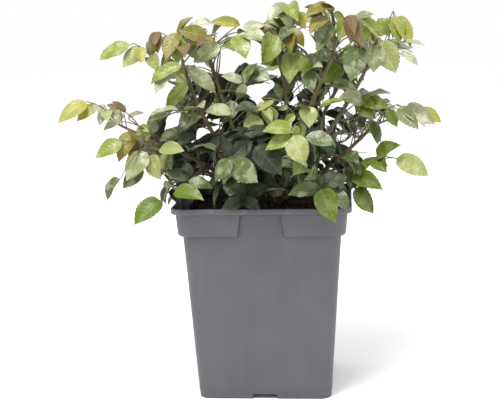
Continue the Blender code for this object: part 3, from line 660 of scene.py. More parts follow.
class Arc:
    # a bent line through a start, a point half way and a tip
    def __init__(self, start, middle, tip):
        self.start = start
        self.tip = tip
        self.pull = 2 * middle - (start + tip) / 2

    def point(self, share):
        rest = 1 - share
        return self.start * rest ** 2 + self.pull * (2 * rest * share) + self.tip * share ** 2

    def heading(self, share):
        return ((self.pull - self.start) * (1 - share) + (self.tip - self.pull) * share).normalized()


def caneRadius(share):
    return plantSizes["caneFoot"] + (plantSizes["caneTip"] - plantSizes["caneFoot"]) * share


def caneArcs(sizes):
    arcs = {}
    knob = Vector((0, 0, sizes["compostTop"] + sizes["gap"] + sizes["knobHeight"]))
    for name, (foot, middle, tip) in canePlan.items():
        start = Vector((*foot, 0)) * mm + knob
        full = Arc(start, Vector(middle) * mm, Vector(tip) * mm)
        lower = start + full.heading(0) * (sizes["stubLength"] + sizes["gap"])
        arcs[name] = Arc(lower, full.point(sizes["caneBendPlace"]), full.tip)
    return arcs


def shootArc(limb, place, tip, sizes):
    # a shoot starts on its limb's tip, or at its side
    heading = limb.heading(place)
    if place == 1:
        start = limb.tip + heading * sizes["tipGap"]
        return Arc(start, start + (heading * (tip - start).length + tip - start) / 4, tip)
    base = limb.point(place)
    away = tip - base
    away = (away - heading * away.dot(heading)).normalized()
    onward = (tip - base) * sizes["shootTowardTip"] + away * (tip - base).length * sizes["shootAway"]
    start = base + away * (caneRadius(place) + sizes["gap"])
    return Arc(start, start + onward, tip)


canes = caneArcs(plantSizes)
shoots = {name: shootArc(canes[limb], place, Vector(tip) * mm, plantSizes)
          for name, (limb, place, tip, _, _, _) in shootPlan.items()}


# Canes with their bark, and the grafted stock

barkLook = {
    "rings": 84, "sides": 18, "slim": 0.8, "relief": 0.06, "mapLength": 50 * mm,
    "nodeGap": 21 * mm, "nodeSwell": 0.3 * mm, "nodeLong": 1.6 * mm,
    "budSwell": 0.7 * mm, "budLong": 1.3 * mm, "budAbove": 1.5 * mm,
    "prickleGap": 9 * mm, "prickleSize": (1.6 * mm, 3.0 * mm),
    "prickleColours": ((0.13, 0.052, 0.028), (0.19, 0.12, 0.055)), "prickleRoughness": 0.42,
    "redCanes": ("cane_low_right", "cane_low_left", "cane_back_left"),
}
barkTints = {    # young, weathered and streak colour, and the share that is weathered
    "greenCaneBark": ((0.100, 0.090, 0.024), (0.082, 0.048, 0.018), (0.19, 0.150, 0.055), 0.45),
    "redCaneBark": ((0.075, 0.046, 0.018), (0.066, 0.028, 0.014), (0.13, 0.078, 0.038), 0.6),
    "graftWood": ((0.075, 0.052, 0.032), (0.048, 0.032, 0.021), (0.13, 0.10, 0.07), 0.5),
}


def caneFrame(arc):
    # a steady side direction for a bent line
    side = (arc.pull - arc.start).cross(arc.tip - arc.start)
    return side.normalized() if side.length > 1e-9 else arc.heading(0).orthogonal().normalized()


def buildCane(name, arc, look, index):
    # a tapering limb with swollen nodes, a bud at each and a fine relief, closed by a domed tip
    mesh = bmesh.new()
    barkMap = mesh.loops.layers.uv.new("barkMap")
    side = caneFrame(arc)
    length = (arc.tip - arc.start).length * 1.04
    nodeCount = max(3, round(length / look["nodeGap"]))
    rows = []
    lead = 3 * mm / length
    for step in range(look["rings"] + 1):
        share = -lead + (1 + lead) * step / look["rings"]
        heading = arc.heading(max(share, 0))
        centre = arc.point(max(share, 0)) + heading * (min(share, 0) * length)
        other = heading.cross(side)
        radius = caneRadius(max(share, 0)) * look["slim"]
        row = []
        for turn in range(look["sides"]):
            angle = math.tau * turn / look["sides"]
            away = side * math.cos(angle) + other * math.sin(angle)
            swell = 0
            for number in range(nodeCount):
                offset = (share - (number + 0.6) / nodeCount) * length
                bud = max(math.cos(angle - math.radians(144) * number), 0) ** 6
                swell += look["nodeSwell"] * math.exp(-(offset / look["nodeLong"]) ** 2)
                near = math.exp(-((offset - look["budAbove"]) / look["budLong"]) ** 2)
                swell += look["budSwell"] * near * bud
            place = centre + away * radius
            grooves = noise.noise(Vector((math.cos(angle) * 2, math.sin(angle) * 2, share * 9 + index * 7)))
            fine = noise.noise(place * 900)
            rough = radius * (1 + look["relief"] * (grooves + 0.5 * fine))
            row.append(mesh.verts.new(centre + away * (rough + swell)))
        rows.append(row)
    for number, (low, high) in enumerate(zip(rows, rows[1:])):
        for turn in range(look["sides"]):
            after = (turn + 1) % look["sides"]
            face = mesh.faces.new((low[turn], low[after], high[after], high[turn]))
            corners = ((turn, number), (turn + 1, number), (turn + 1, number + 1), (turn, number + 1))
            for loop, (across, along) in zip(face.loops, corners):
                upward = along / look["rings"] * length / look["mapLength"]
                loop[barkMap].uv = (across / look["sides"], upward)
    mesh.faces.new(list(reversed(rows[0])))
    dome = mesh.verts.new(arc.tip + arc.heading(1) * 0.8 * mm)
    for turn in range(look["sides"]):
        mesh.faces.new((rows[-1][turn], rows[-1][(turn + 1) % look["sides"]], dome))
    cane = addObject(name + "_bark", mesh)
    shadeSmooth(cane, 50)
    return cane


def barkMaterial(name, young, weathered, streak, share):
    # skin-like bark: green where young, brown where weathered, with fine lines along the cane and pale pores
    material, tree, shader = newMaterial(name, 0.5)
    place = objectPlace(tree)
    patches = useGroup(tree, mottle, {"Place": place, "Large": 60, "Small": 380, "Contrast": 3.2})
    aged = remap(tree, patches["Patches"], 1 - share - 0.25, 1 - share + 0.25)
    colour = blend(tree, aged, opaque(young), opaque(weathered))
    lines = addNode(tree, "ShaderNodeUVMap", uv_map="barkMap").outputs[0]
    drawn = addNode(tree, "ShaderNodeMapping", {"Vector": lines, "Scale": (16, 1.4, 1)}).outputs[0]
    fibres = addNoise(tree, drawn, 2.2, 5)
    ridge = calc(tree, "MULTIPLY", remap(tree, fibres, 0.5, 0.66), 0.55)
    colour = blend(tree, ridge, colour, opaque(streak))
    pores = addNode(tree, "ShaderNodeTexVoronoi", {"Vector": place, "Scale": 620}).outputs["Distance"]
    pore = remap(tree, pores, 0.22, 0.12)
    paler = opaque(tuple(min(1, part * 2.4) for part in streak))
    colour = blend(tree, calc(tree, "MULTIPLY", pore, 0.5), colour, paler)
    tree.links.new(colour, shader.inputs["Base Color"])
    tree.links.new(remap(tree, fibres, 0, 1, 0.38, 0.7), shader.inputs["Roughness"])
    addBump(tree, shader, calc(tree, "MULTIPLY_ADD", pore, 0.4, fibres), 0.0004, 0.8)
    return material


def buildStock(arcs, sizes, look):
    # a short stem with the swollen graft and a stub for each cane, grown together and roughened
    foot = sizes["compostTop"] + sizes["gap"]
    mesh = bmesh.new()
    stem = bmesh.ops.create_cone(mesh, cap_ends=True, segments=28, radius1=14 * mm, radius2=9 * mm,
                                 depth=sizes["knobHeight"])
    bmesh.ops.translate(mesh, vec=(0, 0, foot + sizes["knobHeight"] / 2), verts=stem["verts"])
    knob = bmesh.ops.create_icosphere(mesh, subdivisions=4, radius=13.5 * mm)
    for vertex in knob["verts"]:
        vertex.co.z *= 0.6
    bmesh.ops.translate(mesh, vec=(0, 0, foot + sizes["knobHeight"]), verts=knob["verts"])
    for arc in arcs.values():
        heading = arc.heading(0)
        end = arc.start + heading * 1.5 * mm
        start = arc.start - heading * sizes["stubLength"] * 1.3
        stub = bmesh.ops.create_cone(mesh, cap_ends=True, segments=16, radius1=4.6 * mm, radius2=3.5 * mm,
                                     depth=(end - start).length)
        turn = heading.to_track_quat("Z", "Y").to_matrix().to_4x4()
        bmesh.ops.transform(mesh, matrix=Matrix.Translation((start + end) / 2) @ turn, verts=stub["verts"])
    stock = addObject("graft_stock_bark", mesh)
    remesh = stock.modifiers.new("remesh", "REMESH")
    remesh.mode = "VOXEL"
    remesh.voxel_size = 0.7 * mm
    smooth = stock.modifiers.new("smooth", "SMOOTH")
    smooth.iterations = 5
    settle(stock)
    for vertex in stock.data.vertices:
        lumps = noise.fractal(vertex.co * 130, 0.7, 2.2, 4) * 1.1 * mm
        vertex.co += vertex.normal * (lumps + noise.noise(vertex.co * 700) * 0.25 * mm)
    stock.data.shade_smooth()
    layer = stock.data.uv_layers.new(name="barkMap")
    for loop in stock.data.loops:
        place = stock.data.vertices[loop.vertex_index].co
        layer.data[loop.index].uv = (math.atan2(place.y, place.x) / math.tau, place.z / look["mapLength"])
    return stock


def prickleTree():
    # one prickle stood on every point, aimed along one direction and hooked toward another
    tree, ins, outs = newGroup("prickles", "GeometryNodeTree", [
        ("Geometry", "NodeSocketGeometry", None), ("Prickle", "NodeSocketObject", None),
        ("Size", "NodeSocketFloat", 1), ("Prickle Material", "NodeSocketMaterial", None),
    ], [("Geometry", "NodeSocketGeometry")])
    aim, hook = carried(tree, "aim", "FLOAT_VECTOR"), carried(tree, "hook", "FLOAT_VECTOR")
    turn = addNode(tree, "FunctionNodeAxesToRotation", {0: aim, 1: hook},
                   primary_axis="Z", secondary_axis="X")
    scale = calc(tree, "MULTIPLY", carried(tree, "size"), ins["Size"])
    source = addNode(tree, "GeometryNodeObjectInfo", {0: ins["Prickle"]})
    placed = addNode(tree, "GeometryNodeInstanceOnPoints", {
        "Points": ins["Geometry"], "Instance": source.outputs["Geometry"],
        "Rotation": turn.outputs[0], "Scale": scale})
    real = addNode(tree, "GeometryNodeRealizeInstances", {0: placed.outputs[0]}).outputs[0]
    return paint(tree, real, ins["Prickle Material"], outs)


def prickleShape():
    # a hooked thorn one unit high, wide at its foot along the cane
    angles = [math.tau * step / 7 for step in range(7)]
    rings = [[(shift + math.cos(angle) * long, math.sin(angle) * wide, height) for angle in angles]
             for height, shift, long, wide in (
                 (-0.15, 0, 0.62, 0.3), (0.1, 0, 0.46, 0.2), (0.4, 0.08, 0.26, 0.12),
                 (0.75, 0.26, 0.11, 0.06), (1, 0.5, 0.02, 0.015))]
    return addObject("prickle", loft(rings))


def pointCloud(name, places, values):
    # loose points that carry named values for a node tree
    data = bpy.data.meshes.new(name)
    data.from_pydata(places, [], [])
    for key, (kind, items) in values.items():
        layer = data.attributes.new(key, kind, "POINT")
        if kind == "FLOAT_VECTOR":
            layer.data.foreach_set("vector", [part for item in items for part in item])
        else:
            layer.data.foreach_set("value", items)
    return addItem(name, data)


def buildPrickles(arcs, look, material):
    dice = random.Random(21)
    places, aims, hooks, sizes = [], [], [], []
    for arc in arcs.values():
        side = caneFrame(arc)
        length = (arc.tip - arc.start).length
        for number in range(int(length / look["prickleGap"])):
            share = min(0.97, (number + dice.uniform(0.2, 0.8)) * look["prickleGap"] / length)
            heading = arc.heading(share)
            angle = number * 2.2 + dice.uniform(-0.5, 0.5)
            away = side * math.cos(angle) + heading.cross(side) * math.sin(angle)
            places.append(arc.point(share) + away * caneRadius(share) * look["slim"] * 0.95)
            aims.append((away - heading * 0.15).normalized())
            hooks.append(-heading)
            sizes.append(dice.uniform(*look["prickleSize"]))
    shape = prickleShape()
    prickles = pointCloud("cane_prickles", places, {
        "aim": ("FLOAT_VECTOR", aims), "hook": ("FLOAT_VECTOR", hooks), "size": ("FLOAT", sizes)})
    runNodes(prickles, prickleTree(), {"Prickle": shape, "Size": 1.0, "Prickle Material": material})
    bpy.data.objects.remove(shape, do_unlink=True)
    prickles.data.shade_smooth()
    return prickles


barks = {name: barkMaterial(name, *tints) for name, tints in barkTints.items()}
horn = mottledMaterial("prickleHorn", *barkLook["prickleColours"], barkLook["prickleRoughness"], 0.5,
                       (300, 900, 2.5))
for index, (name, arc) in enumerate(canes.items()):
    bark = barks["redCaneBark" if name in barkLook["redCanes"] else "greenCaneBark"]
    dress(buildCane(name, arc, barkLook, index), bark, "cane", name)
dress(buildStock(canes, plantSizes, barkLook), barks["graftWood"], "stock", "graft_stock")
dress(buildPrickles(canes, barkLook, horn), horn, "cane")
print("canes and stock built")


# Growing the leaves: room, leafstalks and leaflets by the plant's rule

growth = {
    # the rule's leafstalks, in degrees: turn from leaf to leaf, opening low and high on the shoot, new try's turn
    "leafTurn": 144, "openingLow": 74, "openingHigh": 34, "tryTurn": 26, "tries": 8, "rise": 0.45,
    # their leaflets: opening from the stalk in degrees, and which way the faces turn
    "leafletOpening": 66, "leafletDip": 0.35, "leanOutward": 0.7, "toLight": (0, -0.15, 0.62), "width": 0.335,
    # the finer leaves between, and those on the canes
    "fillTurn": 77, "fillSize": (0.72, 1.0), "fillShare": 3.5, "caneLeaves": 14,
    # a leaf's tint: that of the placed leaf beside it, within so many mm, or else by its level in the crown,
    # darker as painted shade where it is low and within
    "likePlaced": 0.7, "besidePlaced": 34, "belowPlaced": 9,
    "tintLevels": ((0.45, "shade"), (0.7, "deep"), (0.9, "mid"), (1.02, "fresh")),
    "outerTints": ("fresh", "lime", "pale", "gold"),
    # the placed leaves: half width, longest at side and end in mm, depths in metres, moves to find room
    "placedWidth": 0.315, "slender": {"gold": 0.29, "bronze": 0.24}, "longestPlaced": (28, 35),
    "depthInFront": (-0.03, 0.012), "depthBehind": (-0.004, 0.028), "tipDepth": (-0.012, 0.008),
    "moves": 5, "moveForward": 2.5,
    # how a blade bends, each a range
    "arch": 0.36, "curl": (0.3, 1.15), "fold": (0.15, 0.75), "edge": (-0.05, 0.3), "ripple": (0.02, 0.09),
    "twist": (-0.5, 0.5),
}
bendNames = ("curl", "fold", "edge", "ripple", "twist")
# A leaf's five leaflets: place along the stalk, side of it, and size against the end leaflet
leafletPlan = ((1, 0, 1), (0.7, 1, 0.92), (0.7, -1, 0.92), (0.36, 1, 0.8), (0.36, -1, 0.8))

# The crown as seen from the front, on the plane y = 0: its outline, and the openings where the sky shows
crownOutline = (
    (0, 381), (24, 405), (49, 399), (70, 403), (77, 392), (91, 393), (97, 385), (102, 390), (122, 385),
    (129, 392), (156, 384), (156, 359), (166, 352), (142, 348), (158, 334), (142, 335), (135, 326),
    (107, 331), (93, 315), (105, 306), (127, 308), (132, 296), (154, 300), (175, 291), (182, 276),
    (175, 273), (158, 269), (142, 279), (135, 271), (125, 280), (115, 275), (123, 253), (138, 256),
    (137, 243), (160, 239), (169, 220), (153, 220), (136, 237), (127, 225), (106, 231), (103, 227),
    (122, 208), (112, 202), (117, 185), (110, 181), (96, 191), (91, 181), (-101, 183), (-107, 190),
    (-124, 174), (-140, 169), (-135, 194), (-115, 200), (-107, 214), (-126, 227), (-169, 197),
    (-151, 231), (-161, 249), (-179, 242), (-179, 250), (-144, 273), (-170, 270), (-180, 296),
    (-196, 281), (-203, 289), (-219, 278), (-214, 297), (-199, 305), (-160, 302), (-126, 289),
    (-142, 281), (-139, 276), (-124, 280), (-119, 292), (-101, 297), (-93, 316), (-113, 307),
    (-104, 320), (-118, 318), (-109, 331), (-121, 345), (-147, 336), (-152, 354), (-171, 344),
    (-155, 365), (-122, 361), (-112, 377), (-96, 373), (-71, 388), (-53, 383), (-33, 388), (-20, 376),
)
skyWindows = {    # a point on the line of sight: the opening's radius
    (-39, 341): 10, (104, 250): 10, (-36, 369): 7, (47, 356): 7, (90, 292): 6, (83, 358): 6, (-65, 338): 5,
    (-96, 277): 5, (84, 258): 5, (-79, 343): 4, (-46, 332): 5, (-9, 346): 5, (144, 363): 3, (-24, 344): 3,
    (70, 305): 5, (63, 293): 5, (-63, 267): 4, (-70, 262): 4, (45, 370): 4, (-92, 284): 4, (82, 291): 4,
    (-13, 310): 5, (-8, 303): 5, (3, 313): 4, (36, 312): 4, (30, 294): 4, (78, 302): 4, (-52, 270): 3,
    (-110, 350): 3, (122, 275): 5, (124, 259): 4, (101, 316): 4, (92, 294): 4, (-30, 336): 3, (29, 193): 8,
    (10, 193): 5, (-62, 193): 6, (43, 192): 5,
}
caneStretches = {    # the part of a cane that no leaf hides
    "cane_left": (0.45, 1), "cane_left_back": (0.4, 0.95), "cane_middle": (0.5, 0.85),
    "cane_right": (0.55, 1), "cane_far_right": (0.45, 0.95), "cane_low_left": (0.35, 0.9),
    "cane_low_right": (0.5, 1),
}


# Each placed leaf: its shoot, the end of its leafstalk, and for each leaflet the place on the stalk, the tip,
# the roll, the tint and, where it isn't 1, the relative width
# their tints carry painted light too: shade and deep where the crown lies in shadow, silver and pale where glare
# shows
placedLeaves = [
    ("leaves_low_left_tip", (-179, -36, 304), [(1, (-208, -40, 283), 25, "yellow", 0.9),
        (0.74, (-188, -42, 285), 40, "yellow", 0.8), (0.74, (-173, -30, 291), 40, "pale"),
        (0.42, (-156, -44, 284), 15, "lime"), (0.42, (-167, -32, 279), 35, "pale")]),
    ("leaves_low_left_tip", (-146, -30, 296), [(1, (-159, -33, 300), 20, "bronze"),
        (0.8, (-155, -27, 303), 40, "bronze")]),
    ("leaves_low_left_tip", (-142, -44, 284), [(1, (-160, -48, 275), 55, "pale")]),
    ("leaves_low_left_tip", (-139, -26, 285), [(1, (-122, -28, 291), 55, "pale")]),
    ("leaves_low_left_side", (-141, -52, 264), [(1, (-167, -58, 249), 30, "fresh"),
        (0.7, (-135, -54, 276), 50, "gold")]),
    ("leaves_low_left_side", (-127, -58, 274), [(1, (-142, -66, 246), 50, "gold"),
        (0.8, (-132, -60, 246), 40, "bronze"), (0.5, (-110, -56, 285), 55, "silver")]),
    ("leaves_low_left_side", (-112, -72, 255), [(1, (-132, -80, 229), 25, "silver", 1.15),
        (0.92, (-99, -78, 229), 10, "lime", 1.1), (0.85, (-75, -78, 257), 50, "lime")]),
    ("leaves_low_left_side", (-120, -54, 237), [(1, (-140, -58, 218), 45, "mid")]),
    ("leaves_low_left_side", (-143, -57, 227), [(1, (-157, -58, 206), 62, "mid")]),
    ("leaves_low_left_foot", (-97, -64, 210), [(1, (-127, -72, 183), 20, "green", 1.1),
        (0.8, (-82, -60, 200), 35, "shade")]),
    ("leaves_low_left_foot", (-84, -80, 218), [(1, (-56, -86, 209), 35, "green"),
        (0.7, (-95, -74, 219), 20, "mid")]),
    ("leaves_low_left_foot", (-71, -76, 227), [(1, (-47, -82, 220), 40, "mid"),
        (0.8, (-94, -70, 237), 15, "deep")]),
    ("leaves_left_top_side", (-130, -28, 362), [(1, (-164, -31, 346), 45, "fresh", 0.8),
        (0.78, (-140, -34, 339), 25, "lime"), (0.78, (-123, -23, 342), 30, "yellow"),
        (0.4, (-104, -34, 333), 20, "lime"), (0.4, (-114, -25, 363), 60, "gold")]),
    ("leaves_left_top_side", (-81, -32, 338), [(1, (-111, -37, 321), 45, "fresh", 0.85),
        (0.8, (-108, -32, 311), 62, "pale")]),
    ("leaves_left_top", (-80, -26, 338), [(1, (-48, -30, 311), 40, "silver", 0.85)]),
    ("leaves_left_top_side", (-75, -34, 320), [(1, (-95, -39, 298), 20, "fresh")]),
    ("leaves_left_side", (-84, -42, 295), [(1, (-112, -46, 289), 68, "pale"),
        (0.6, (-72, -45, 288), 35, "silver"), (0.4, (-57, -45, 297), 50, "silver")]),
    ("leaves_left_side", (-66, -24, 288), [(1, (-85, -28, 269), 25, "mid")]),
    ("leaves_left_low", (-69, -24, 266), [(1, (-90, -28, 255), 25, "deep")]),
    ("leaves_left_side", (-84, -48, 274), [(1, (-102, -52, 264), 40, "mid")]),
    ("leaves_left_side", (-96, -34, 290), [(1, (-117, -38, 282), 50, "mid")]),
    ("leaves_left_top", (-86, -26, 372), [(1, (-97, -30, 346), 50, "gold"),
        (0.88, (-84, -32, 341), 35, "fresh"), (0.62, (-80, -23, 348), 45, "fresh"),
        (0.5, (-76, -30, 347), 40, "bronze")]),
    ("leaves_left_top", (-107, -14, 373), [(1, (-115, -16, 355), 62, "bronze"),
        (0.97, (-108, -12, 351), 68, "bronze"), (0.7, (-100, -12, 347), 62, "bronze")]),
    ("leaves_left_top", (-56, -18, 368), [(1, (-84, -14, 374), 10, "gold"),
        (0.95, (-49, -21, 362), 35, "gold"), (0.9, (-65, -26, 358), 30, "bronze")]),
    ("leaves_left_back_top", (-46, 8, 359), [(1, (-72, 2, 341), 10, "silver")]),
    ("leaves_left_back_top", (-25, 18, 378), [(1, (-56, 14, 380), 25, "yellow", 0.8)]),
    ("leaves_left_back_top", (-45, 24, 357), [(1, (-21, 21, 346), 60, "fresh")]),
    ("leaves_left_back_top", (-17, 14, 369), [(1, (-32, 9, 351), 35, "pale"),
        (0.85, (5, 10, 360), 40, "silver"), (0.7, (-18, 9, 344), 30, "fresh")]),
    ("leaves_middle_top", (1, 8, 378), [(1, (-21, 5, 374), 62, "pale"), (0.8, (-10, 11, 369), 50, "gold")]),
    ("leaves_middle_top", (27, 8, 398), [(1, (28, 2, 372), 30, "silver", 1.2),
        (0.97, (6, 6, 380), 45, "silver"), (0.95, (37, 0, 381), 35, "fresh")]),
    ("leaves_middle_top", (36, 2, 389), [(1, (44, -4, 373), 35, "yellow")]),
    ("leaves_middle_top", (12, -8, 368), [(1, (0, -15, 339), 5, "fresh", 1.35)]),
    ("leaves_middle_top", (32, -14, 349), [(1, (28, -21, 319), 8, "fresh", 1.25)]),
    ("leaves_middle_top", (28, 0, 373), [(1, (42, -5, 355), 30, "gold"), (0.97, (19, -8, 361), 10, "mid"),
        (0.9, (30, -4, 349), 50, "gold")]),
    ("leaves_right_side", (45, -34, 333), [(1, (52, -40, 310), 15, "mid"),
        (0.8, (62, -32, 335), 40, "silver"), (0.8, (40, -30, 347), 35, "fresh")]),
    ("leaves_right_top", (71, -32, 393), [(1, (46, -38, 384), 50, "gold"),
        (0.92, (50, -44, 368), 40, "gold"), (0.8, (61, -30, 398), 62, "bronze")]),
    ("leaves_right_top", (70, -36, 378), [(1, (57, -42, 352), 20, "mid", 1.1)]),
    ("leaves_right_top", (73, -14, 388), [(1, (84, -14, 382), 30, "green")]),
    ("leaves_right_top", (91, -36, 386), [(1, (94, -41, 367), 35, "bronze"),
        (0.92, (100, -42, 357), 45, "bronze"), (0.85, (91, -36, 358), 50, "bronze")]),
    ("leaves_right_top", (86, -28, 383), [(1, (78, -32, 362), 30, "fresh")]),
    ("leaves_right_top", (101, -22, 382), [(1, (120, -27, 364), 58, "fresh"),
        (0.8, (113, -19, 386), 50, "pale")]),
    ("leaves_far_right_top", (119, 4, 382), [(1, (130, -2, 364), 20, "fresh"),
        (0.8, (114, 2, 373), 50, "bronze")]),
    ("leaves_far_right_top", (134, 10, 389), [(1, (151, 5, 353), 45, "yellow"),
        (0.97, (139, 2, 357), 35, "fresh"), (0.7, (133, 12, 362), 50, "lime")]),
    ("leaves_far_right_top", (141, 16, 356), [(1, (167, 14, 352), 70, "pale", 0.5)]),
    ("leaves_far_right_top", (141, 18, 346), [(1, (159, 15, 333), 45, "pale", 0.8)]),
    ("leaves_far_right_top", (119, -8, 362), [(1, (135, -16, 328), 5, "lime", 1.3),
        (0.96, (113, -18, 329), 15, "silver", 1.2)]),
    ("leaves_right_side", (95, -30, 354), [(1, (90, -37, 321), 15, "mid", 1.15),
        (0.9, (80, -26, 343), 35, "fresh")]),
    ("leaves_right_side", (82, -10, 335), [(1, (60, -14, 319), 20, "green")]),
    ("leaves_right_side", (71, -38, 317), [(1, (96, -43, 311), 35, "mid", 0.9)]),
    ("leaves_far_right_side", (102, 6, 299), [(1, (78, 1, 302), 25, "silver"),
        (0.95, (115, -3, 280), 15, "fresh", 1.3), (0.9, (131, 9, 305), 60, "pale"),
        (0.85, (128, 0, 291), 20, "fresh")]),
    ("leaves_low_right_tip", (127, -6, 288), [(1, (137, -11, 272), 15, "green"),
        (0.5, (117, 2, 254), 30, "mid")]),
    ("leaves_low_right_tip", (138, -2, 294), [(1, (175, -7, 274), 15, "pale"),
        (0.95, (182, 2, 275), 40, "yellow"), (0.85, (158, -8, 270), 40, "silver")]),
    ("leaves_low_right_side", (135, -34, 242), [(1, (166, -39, 225), 25, "lime"),
        (0.5, (125, -42, 229), 5, "green", 1.35), (0.45, (139, -32, 256), 30, "green"),
        (0.2, (105, -38, 232), 10, "green")]),
    ("leaves_low_right_side", (88, -44, 244), [(1, (99, -50, 227), 20, "mid"),
        (0.8, (97, -42, 240), 50, "mid"), (0.7, (79, -40, 256), 20, "deep")]),
    ("leaves_low_right_foot", (91, -46, 226), [(1, (120, -51, 213), 35, "green"),
        (0.7, (88, -52, 215), 10, "mid")]),
    ("leaves_low_right_foot", (95, -50, 215), [(1, (111, -56, 190), 12, "green")]),
    ("leaves_front_right_top", (34, -98, 273), [(1, (45, -108, 246), 5, "lime", 1.2),
        (0.95, (8, -104, 260), 35, "fresh"), (0.93, (74, -100, 264), 50, "mid"),
        (0.85, (6, -95, 277), 45, "fresh")]),
    ("leaves_front_right_top", (48, -94, 300), [(1, (50, -100, 281), 5, "lime", 1.4),
        (0.8, (41, -92, 303), 50, "fresh"), (0.6, (82, -94, 305), 68, "fresh")]),
    ("leaves_middle_side", (4, -46, 294), [(1, (11, -51, 282), 15, "lime"),
        (0.8, (-27, -51, 292), 50, "deep")]),
    ("leaves_middle_side", (34, -50, 289), [(1, (23, -55, 279), 25, "fresh"),
        (0.8, (17, -48, 294), 40, "mid")]),
    ("leaves_left_back_front", (-17, -26, 319), [(1, (-25, -31, 304), 30, "mid"),
        (0.8, (-41, -24, 327), 30, "pale"), (0.8, (-4, -22, 339), 45, "mid")]),
    ("leaves_left_back_front", (-31, -34, 292), [(1, (-57, -37, 292), 45, "silver"),
        (0.7, (-40, -38, 280), 20, "mid")]),
    ("leaves_front_left_top", (-26, -96, 250), [(1, (-1, -104, 229), 5, "mid", 1.15),
        (0.98, (-41, -104, 231), 20, "mid"), (0.95, (-6, -90, 267), 20, "shade"),
        (0.9, (-36, -86, 272), 25, "shade")]),
    ("leaves_front_right_side", (60, -104, 222), [(1, (74, -112, 191), 3, "green", 1.25),
        (0.9, (30, -110, 217), 25, "mid"), (0.85, (85, -98, 232), 25, "deep"),
        (0.8, (62, -96, 239), 25, "deep")]),
    ("leaves_front_left_low", (-16, -84, 210), [(1, (0, -89, 200), 20, "shade"),
        (0.97, (-37, -89, 201), 20, "shade"), (0.8, (9, -80, 222), 25, "shade"),
        (0.8, (-29, -80, 222), 25, "shade")]),
]


def leafletHull(root, forward, normal, length, width):
    # six points that stand for a leaflet when room is sought
    side = forward.cross(normal).normalized()
    half = length * width
    lift = normal * length * 0.075
    low = root + forward * length * 0.34 + lift
    high = root + forward * length * 0.68 + lift * 0.8
    tip = root + forward * length - lift * 0.7
    wide, narrow = side * half, side * half * 0.8
    return [root, low + wide, high + narrow, tip, high - narrow, low - wide]


def hullTree(points):
    mesh = bmesh.new()
    for point in points:
        mesh.verts.new(point)
    bmesh.ops.convex_hull(mesh, input=mesh.verts)
    tree = BVHTree.FromBMesh(mesh)
    mesh.free()
    return tree


def solidTree(solid):
    mesh = bmesh.new()
    mesh.from_mesh(solid.data)
    tree = BVHTree.FromBMesh(mesh)
    mesh.free()
    return tree


class Room:
    # what already stands, so that a twig or leaflet that would touch it is left out
    def __init__(self, solids):
        self.fixed = [solidTree(solid) for solid in solids]
        self.loose = []

    def clear(self, points, owner, blade=False):
        middle = sum(points, Vector()) / len(points)
        reach = max((point - middle).length for point in points)
        tree = hullTree(points)
        if any(tree.overlap(solid) for solid in self.fixed):
            return False
        near = (taken for other, place, size, taken in self.loose
                if (other != owner or blade) and (place - middle).length < reach + size)
        return not any(tree.overlap(taken) for taken in near)

    def take(self, points, owner):
        middle = sum(points, Vector()) / len(points)
        reach = max((point - middle).length for point in points)
        self.loose.append((owner, middle, reach, hullTree(points)))


def stretchPoints(arc, start, end, radius):
    # points round a stretch of twig, to seek room for it
    heading = (arc.point(end) - arc.point(start)).normalized()
    side = heading.orthogonal().normalized() * (radius + plantSizes["clearance"])
    other = heading.cross(side)
    return [arc.point(share) + offset for share in (start, end) for offset in (side, other, -side, -other)]


def insideRoom(points):
    # over the compost, the rim or the ground beside the pot, and not above the crown
    sizes = plantSizes
    for point in points:
        middle = max(abs(point.x), abs(point.y))
        lowest = sizes["overCompost"] if middle < sizes["overCompostHalf"] else sizes["overRim"]
        if middle > potSizes["lipHalf"] + sizes["potMargin"]:
            lowest = sizes["leafLowest"]
        if not lowest < point.z < sizes["crownTop"]:
            return False
    return True


def seenAt(point):
    # where the line of sight from the camera through a point meets the plane y = 0
    share = cameraPlace.y / (cameraPlace.y - point.y)
    across, rise = point.x - cameraPlace.x, point.z - cameraPlace.z
    return cameraPlace.x + across * share, cameraPlace.z + rise * share


def bladePoints(root, forward, normal, length, width):
    # points spread over an arched blade, to see what it covers
    side = forward.cross(normal).normalized() * length * width
    arch = normal * length * growth["arch"]
    points = []
    for along in (0.06, 0.25, 0.44, 0.63, 0.82, 0.98):
        middle = root + forward * length * along + arch * along * (1 - along)
        taper = 1 - abs(along * 2 - 0.86) ** 3
        points += [middle + side * across * taper for across in (-0.9, -0.45, 0, 0.45, 0.9)]
    return points


class View:
    # the crown from the front: leaves keep inside its outline, off its openings and off what stands behind
    def __init__(self, outline, openings):
        corners = [(x * mm, z * mm) for x, z in outline]
        self.sides = list(zip(corners, corners[1:] + corners[:1]))
        self.spots = [(x * mm, z * mm, radius * mm, 1) for (x, z), radius in openings.items()]

    def keepFree(self, point, radius):
        x, z = seenAt(point)
        self.spots.append((x, z, radius, point.y))

    def inside(self, x, z):
        crossings = [low for low, high in self.sides if (low[1] > z) != (high[1] > z)
                     and x < low[0] + (high[0] - low[0]) * (z - low[1]) / (high[1] - low[1])]
        return len(crossings) % 2 == 1

    def open(self, points):
        nearest = min(point.y for point in points)
        places = [seenAt(point) for point in points]
        x, z = places[len(places) // 2]
        reach = max(math.hypot(a - x, b - z) for a, b in places)
        spots = [spot for spot in self.spots
                 if nearest < spot[3] and math.hypot(spot[0] - x, spot[1] - z) < reach + spot[2]]
        for point, (x, z) in zip(points, places):
            if any((x - a) ** 2 + (z - b) ** 2 < radius ** 2 and point.y < depth
                   for a, b, radius, depth in spots):
                return False
        return all(self.inside(x, z) for x, z in places)


